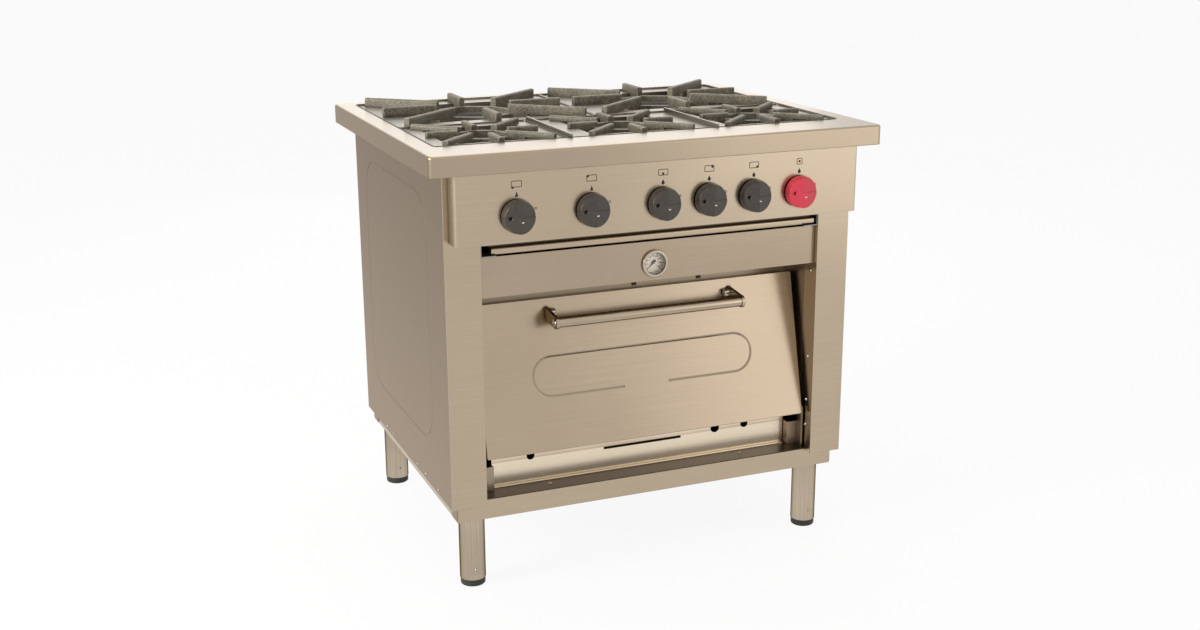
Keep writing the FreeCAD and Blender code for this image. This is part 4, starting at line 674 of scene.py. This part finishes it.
cap_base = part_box("burner_caps")[1][2] / MM - CAP_HEIGHT
cap_build = bmesh.new()
for grate in GRATES:
    centre = middle_of(grate)
    radius = REAR_CAP_RADIUS if grate.startswith("back") else FRONT_CAP_RADIUS
    add_rings(cap_build, burner_cap(Vector((centre.x, centre.y, cap_base)), radius))
burner_crowns = add_piece("burner_crowns", cap_build, burner_iron)
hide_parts("burner_caps")
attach(burner_crowns, "range_body")

# Tray gap: a bead of black rubber laid along the gap between the rim and the spill trays, a dark
# strip that stands in for the shade down in the gap.
GAP_BEAD_SECTION = ((-1.7, 0.0), (-1.2, 0.7), (0.0, 1.0), (1.2, 0.7), (1.7, 0.0), (0.0, -0.5))
GAP_BEAD_CORNER = 10.0
TRAY_GAP = 1.0
tray_low, tray_high = (Vector(corner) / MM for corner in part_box("spill_trays"))
rim_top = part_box("hob_rim")[1][2] / MM
tray_size = tray_high - tray_low
tray_centre = (tray_low + tray_high) / 2
gap_bead_rings = []
for out, rise in GAP_BEAD_SECTION:
    grown = out * 2 + TRAY_GAP
    gap_bead_outline = rounded_rectangle(tray_size.x + grown, tray_size.y + grown, GAP_BEAD_CORNER + out)
    gap_bead_rings.append([(tray_centre.x + x, tray_centre.y + y, rim_top + rise) for x, y in gap_bead_outline])
gap_bead_build = bmesh.new()
add_rings(gap_bead_build, gap_bead_rings, closed=True)
tray_gap_bead = add_piece("tray_gap_bead", gap_bead_build, rubber)
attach(tray_gap_bead, "range_body")

# Control panel: a shallow box folded from sheet and fixed below the front of the rim. It is printed
# with each burner's place on the hob, a flame and an off mark.
MARK_STROKE = 1.2
OFF_RING = (2.3, 1.4)
OFF_PLACE = (35.0, 11.0)
FLAME_UP = 39.0
FLAME_HEIGHT = 9.6
FLAME_WIDTH = 6.6
FLAME_FOOT = range(70, 300, 20)
PLAN_UP = 57.0
PLAN_WIDTH = 20.0
PLAN_HEIGHT = 12.0
PLAN_CORNER = 2.0
PLAN_DOT = 2.3
OVEN_PLAN_WIDTH = 12.0
BURNER_DOTS = ((-7.4, -6.0), (-7.4, 3.6), (0.0, -2.6), (6.2, 3.0), (7.0, -3.6), (0.0, 0.0))
KNOBS = ["knob_%d" % number for number in range(1, 7)]
WEDGE_FLAMES = KNOBS[:2]
dress(front_steel, "control_panel")


def circle(radius, segments=20):
    """A round outline."""
    return [clock(360 * step / segments, radius) for step in range(segments)]


def outlined(outer, inner, x, z, front, back):
    """Rings of a flat line drawn between two outlines of as many points, joined end to end."""
    return [[(x + across, depth, z + up) for across, up in outline]
            for outline, depth in ((outer, front), (inner, front), (inner, back), (outer, back))]


def flame(width, height, wedge):
    """A flame's outline: a round foot drawn up to a point, or a plain wedge."""
    if wedge:
        return [(0, height / 2), (width / 2, -height / 2), (-width / 2, -height / 2)]
    foot = [clock(angle, width / 2) for angle in FLAME_FOOT]
    low = width / 2 - height / 2
    return [(0, height / 2)] + [(across, up + low) for across, up in foot]


panel_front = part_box("control_panel")[0][1] / MM
ink_front = panel_front - PRINT_THICKNESS
mark_build = bmesh.new()
for node, dot in zip(KNOBS, BURNER_DOTS):
    centre = middle_of(node)
    off_x, off_z = centre.x + OFF_PLACE[0], centre.z + OFF_PLACE[1]
    ring_outer, ring_inner = (circle(radius) for radius in OFF_RING)
    add_rings(mark_build, outlined(ring_outer, ring_inner, off_x, off_z, ink_front, panel_front),
              closed=True)
    flame_outline = flame(FLAME_WIDTH, FLAME_HEIGHT, node in WEDGE_FLAMES)
    add_rings(mark_build, plate(flame_outline, centre.x, centre.z + FLAME_UP, ink_front, panel_front))
    width = OVEN_PLAN_WIDTH if node == KNOBS[-1] else PLAN_WIDTH
    outer = rounded_rectangle(width, PLAN_HEIGHT, PLAN_CORNER)
    inner = rounded_rectangle(width - MARK_STROKE * 2, PLAN_HEIGHT - MARK_STROKE * 2,
                              PLAN_CORNER - MARK_STROKE)
    plan_z = centre.z + PLAN_UP
    add_rings(mark_build, outlined(outer, inner, centre.x, plan_z, ink_front, panel_front), closed=True)
    add_rings(mark_build, plate(circle(PLAN_DOT), centre.x + dot[0], plan_z + dot[1],
                                ink_front - PRINT_THICKNESS, panel_front))
panel_marks = add_piece("panel_marks", mark_build, black_ink)
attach(panel_marks, "range_body")

# Knobs: moulded in black resin, the oven's in red. The face folds back from an upright ridge, its
# upper right quarter is let in and its left half has a pin hole. A grub screw goes in at the side,
# and a white dash marks the pointer.
KNOB_RADIUS = 30.5
KNOB_FACE_RADIUS = 29.0
KNOB_DEPTH = 22.0
KNOB_SKIRT_DEPTH = 14.0
KNOB_BACK_INSET = 4.0
KNOB_FOLD = 7.0
KNOB_QUARTER_STEP = 1.4
KNOB_RIM = 1.5
KNOB_SPOKE = 3.75
KNOB_FACE_SHARES = (0.04, 0.25, 0.5, 0.75, 1.0)
KNOB_RIM_SHARES = (0.5, 0.87, 1.0)
KNOB_CREASE = 12.0
KNOB_EDGE = 0.8
RESIN_FLOW = 5.0
RESIN_RELIEF = (0.08, 0.2)
PAINT_GRAIN = 1.5
PIN_HOLE = 3.6
PIN_PLACE = (-19.0, 0.5)
PIN_DEPTH = 12.0
GRUB_HOLE = 2.4
GRUB_DEPTH = 4.0
GRUB_BACK = 16.0
DASH_PLACE = (2.6, -8.0)
DASH_SIZE = (5.2, 2.2)

# Moulded phenolic resin has a satin skin with a faint pattern from its flow.
black_resin = mottled("phenolic_moulded_black", "#473F37", "#362F29", RESIN_FLOW, roughness=0.36,
                      relief=RESIN_RELIEF, edge=KNOB_EDGE, detail=4.0)
red_resin = mottled("phenolic_moulded_red", "#EC4258", "#DE384D", RESIN_FLOW, roughness=0.36,
                    relief=RESIN_RELIEF, edge=KNOB_EDGE, detail=4.0)

# Baked white paint is even and slightly chalky.
paint = mottled("paint_baked_white", "#FAF7EF", "#F2EDE2", PAINT_GRAIN, roughness=0.5)


def face_depth(across, sunk):
    """How far the knob's face lies behind its ridge, at a distance across from it."""
    return abs(across) * KNOB_FOLD / KNOB_RADIUS + (KNOB_QUARTER_STEP if sunk else 0.0)


def knob_rings():
    """Rings of a knob from the middle of its face to its back, with doubled spokes at the step."""
    quarter = round(90 / KNOB_SPOKE)
    spokes = [(step * KNOB_SPOKE, True) for step in range(quarter + 1)]
    spokes += [(step * KNOB_SPOKE, False) for step in range(quarter, quarter * 4 + 1)]
    rings = [[(0, 0, 0)]]
    flat = KNOB_FACE_RADIUS - KNOB_RIM
    face = [(flat * share, 0.0) for share in KNOB_FACE_SHARES]
    for share in KNOB_RIM_SHARES:
        face.append((flat + KNOB_RIM * share, KNOB_RIM * (1 - math.sqrt(1 - share ** 2))))
    for radius, back in face:
        ring = []
        for angle, sunk in spokes:
            up, across = clock(angle, radius)
            ring.append((across, face_depth(across, sunk) + back, up))
        rings.append(ring)
    for radius, depth in ((KNOB_RADIUS, KNOB_SKIRT_DEPTH), (KNOB_RADIUS, KNOB_DEPTH),
                          (KNOB_RADIUS - KNOB_BACK_INSET, KNOB_DEPTH)):
        skirt = [clock(angle, radius) for angle, sunk in spokes]
        rings.append([(across, depth, up) for up, across in skirt])
    return rings + [[(0, KNOB_DEPTH, 0)]]


def drill(piece, finish, holes):
    """Cut turned holes out of a piece's mesh."""
    drill_build = bmesh.new()
    for rings in holes:
        add_rings(drill_build, rings)
    bit = add_piece("drill_bit", drill_build, finish)
    cut = piece.modifiers.new("holes", "BOOLEAN")
    cut.object = bit
    cut.solver = "EXACT"
    bpy.context.view_layer.update()
    evaluated = piece.evaluated_get(bpy.context.evaluated_depsgraph_get())
    drilled = bpy.data.meshes.new_from_object(evaluated)
    piece.modifiers.clear()
    piece.data = drilled
    bpy.data.objects.remove(bit)


def bore(radius, length):
    """The profile of a plain hole."""
    return ((0, 0), (radius, 0), (radius, length), (0, length))


knob_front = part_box(KNOBS[0])[0][1] / MM
for node in KNOBS:
    centre = middle_of(node)
    resin = red_resin if node == KNOBS[-1] else black_resin
    knob_build = bmesh.new()
    add_rings(knob_build, knob_rings())
    knob = add_piece("turning_" + node, knob_build, resin, crease=KNOB_CREASE)
    drill(knob, resin, [
        turned((PIN_PLACE[0], PIN_DEPTH, PIN_PLACE[1]), (0, -1, 0), bore(PIN_HOLE, PIN_DEPTH * 2)),
        turned((GRUB_DEPTH - KNOB_RADIUS, GRUB_BACK, 0), (-1, 0, 0), bore(GRUB_HOLE, GRUB_DEPTH * 2)),
    ])
    place = Vector((centre.x, knob_front, centre.z)) * MM
    knob.location = place
    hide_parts(node)
    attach(knob, node)

    dash_build = bmesh.new()
    dash_outline = rounded_rectangle(DASH_SIZE[0], DASH_SIZE[1], DASH_SIZE[1] / 2)
    flat_dash = plate(dash_outline, DASH_PLACE[0], DASH_PLACE[1], -PRINT_THICKNESS, PRINT_THICKNESS)
    add_rings(dash_build, [[(x, y + face_depth(x, False), z) for x, y, z in ring]
                           for ring in flat_dash])
    dash = add_piece("pointer_dash_" + node, dash_build, paint)
    dash.location = place
    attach(dash, node)

# Fasteners: dome-headed screws with a round drive in the door reveals, the floor pan and the legs,
# and snap-headed rivets along the foot of each side panel.
REVEAL_X = 346.0
REVEAL_Y = -280.25
REVEAL_SCREW_HEIGHTS = (231.0, 285.0, 376.0, 555.0)
REVEAL_SCREW = (4.0, 1.6)
RIVET_X = 414.0
RIVET_Z = 183.0
RIVET_PLACES = (-213.2, -123.2, -65.3, 121.1, 172.6)
RIVET = (3.0, 1.6)
LEG_RADIUS = 25.0
LEG_SCREW_Z = 36.0
LEG_SCREW_SINK = 0.4
LEG_SCREW = (3.5, 2.4)
PAN_SCREWS = ((-205.6, -263.0), (205.6, -263.0))
PAN_TOP = 183.0
PAN_SCREW = (4.2, 2.0)
SCREW_HEAD = ((0, 0), (1, 0), (1, 0.3), (0.82, 0.75), (0.5, 1), (0.4, 1), (0.34, 0.4), (0, 0.4))
RIVET_HEAD = ((0, 0), (1, 0), (0.9, 0.5), (0.6, 0.87), (0, 1))
HEAD_SEGMENTS = 20


def head(place, axis, shape, size):
    """Rings of a fastener's head: its shape, in shares of a radius and a height, set on a place."""
    radius, height = size
    return turned(place, axis, [(radius * out, height * up) for out, up in shape], HEAD_SEGMENTS)


fastener_build = bmesh.new()
for side in (-1, 1):
    for height in REVEAL_SCREW_HEIGHTS:
        add_rings(fastener_build, head((side * REVEAL_X, REVEAL_Y, height), (-side, 0, 0),
                                       SCREW_HEAD, REVEAL_SCREW))
    for place in RIVET_PLACES:
        add_rings(fastener_build, head((side * RIVET_X, place, RIVET_Z), (side, 0, 0),
                                       RIVET_HEAD, RIVET))
for foot in FEET:
    leg = middle_of(foot)
    add_rings(fastener_build, head((leg.x, leg.y - LEG_RADIUS + LEG_SCREW_SINK, LEG_SCREW_Z),
                                   (0, -1, 0), SCREW_HEAD, LEG_SCREW))
for x, y in PAN_SCREWS:
    add_rings(fastener_build, head((x, y, PAN_TOP), (0, 0, 1), SCREW_HEAD, PAN_SCREW))
screws_and_rivets = add_piece("screws_and_rivets", fastener_build, plated)
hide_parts("fasteners")
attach(screws_and_rivets, "range_body")

# Studio: a pale floor and a white room, four soft lamps, and the camera, which stands where the
# picture was taken from. Floor and room look white, in the steel too, but light the range less.
FLOOR_REACH = 30.0
FLOOR_GLOW = 0.92
ROOM_FILL = 0.5
LAMP_TARGET = Vector((0.0, 0.0, 0.5))
LAMPS = (
    ("key_softbox", (2.4, -2.7, 1.0), 2.4, 15.0),
    ("fill_softbox", (-3.2, -0.5, 1.5), 1.4, 100.0),
    ("top_softbox", (0.3, 1.2, 3.3), 2.8, 34.0),
    ("back_softbox", (0.9, 3.1, 1.45), 2.6, 13.0),
)


def plainly_seen(finish):
    """1 for a look at a surface, straight, mirrored or through glass, and 0 for the light it gives."""
    light = add_node(finish, "ShaderNodeLightPath")
    seen = light.outputs["Is Camera Ray"]
    for ray in ("Is Glossy Ray", "Is Transmission Ray"):
        either = add_node(finish, "ShaderNodeMath", {0: seen, 1: light.outputs[ray]},
                          operation="MAXIMUM")
        seen = either.outputs["Value"]
    return seen


floor_mesh = bpy.data.meshes.new("studio_floor")
floor_build = bmesh.new()
bmesh.ops.create_grid(floor_build, x_segments=1, y_segments=1, size=FLOOR_REACH)
floor_build.to_mesh(floor_mesh)
floor_build.free()
floor = bpy.data.objects.new("studio_floor", floor_mesh)
bpy.context.scene.collection.objects.link(floor)
floor_paint = new_finish("studio_floor_white")
floor_share = add_node(floor_paint, "ShaderNodeMath", {0: plainly_seen(floor_paint), 1: FLOOR_GLOW},
                       operation="MULTIPLY")
floor_matte = add_node(floor_paint, "ShaderNodeBsdfDiffuse", {"Color": linear("#F4F4F2")})
floor_glow = add_node(floor_paint, "ShaderNodeEmission", {
    "Color": linear("#FFFFFF"), "Strength": 1.0})
floor_mix = add_node(floor_paint, "ShaderNodeMixShader", {
    0: floor_share.outputs["Value"], 1: floor_matte.outputs["BSDF"],
    2: floor_glow.outputs["Emission"]})
add_node(floor_paint, "ShaderNodeOutputMaterial", {"Surface": floor_mix.outputs["Shader"]})
floor_mesh.materials.append(floor_paint)

room = bpy.data.worlds.new("studio")
bpy.context.scene.world = room
room.use_nodes = True
room.node_tree.nodes.clear()
room_fill = add_node(room, "ShaderNodeBackground", {
    "Color": linear("#F6F4EF"), "Strength": ROOM_FILL})
room_white = add_node(room, "ShaderNodeBackground", {"Color": linear("#FFFFFF"), "Strength": 1.0})
room_mix = add_node(room, "ShaderNodeMixShader", {
    0: plainly_seen(room), 1: room_fill.outputs["Background"], 2: room_white.outputs["Background"]})
add_node(room, "ShaderNodeOutputWorld", {"Surface": room_mix.outputs["Shader"]})

for name, place, size, power in LAMPS:
    lamp = bpy.data.lights.new(name, "AREA")
    lamp.shape = "SQUARE"
    lamp.size = size
    lamp.energy = power
    holder = bpy.data.objects.new(name, lamp)
    holder.location = place
    holder.rotation_mode = "QUATERNION"
    holder.rotation_quaternion = (LAMP_TARGET - Vector(place)).to_track_quat("-Z", "Y")
    bpy.context.scene.collection.objects.link(holder)

CAMERA_PLACE = (-1.132, -2.78025, 1.2837)
CAMERA_HEADING = 22.30
CAMERA_DIP = 15.90
CAMERA_ROLL = -0.26
CAMERA_LENS = 44.70
CAMERA_SENSOR = 36.0
camera = bpy.data.objects.new("camera", bpy.data.cameras.new("camera"))
camera.data.sensor_width = CAMERA_SENSOR
camera.data.lens = CAMERA_LENS
camera.matrix_world = (
    Matrix.Translation(CAMERA_PLACE)
    @ Matrix.Rotation(math.radians(-CAMERA_HEADING), 4, "Z")
    @ Matrix.Rotation(math.radians(90 - CAMERA_DIP), 4, "X")
    @ Matrix.Rotation(math.radians(CAMERA_ROLL), 4, "Z")
)
bpy.context.scene.collection.objects.link(camera)
bpy.context.scene.camera = camera
bpy.context.scene.view_settings.view_transform = "Standard"
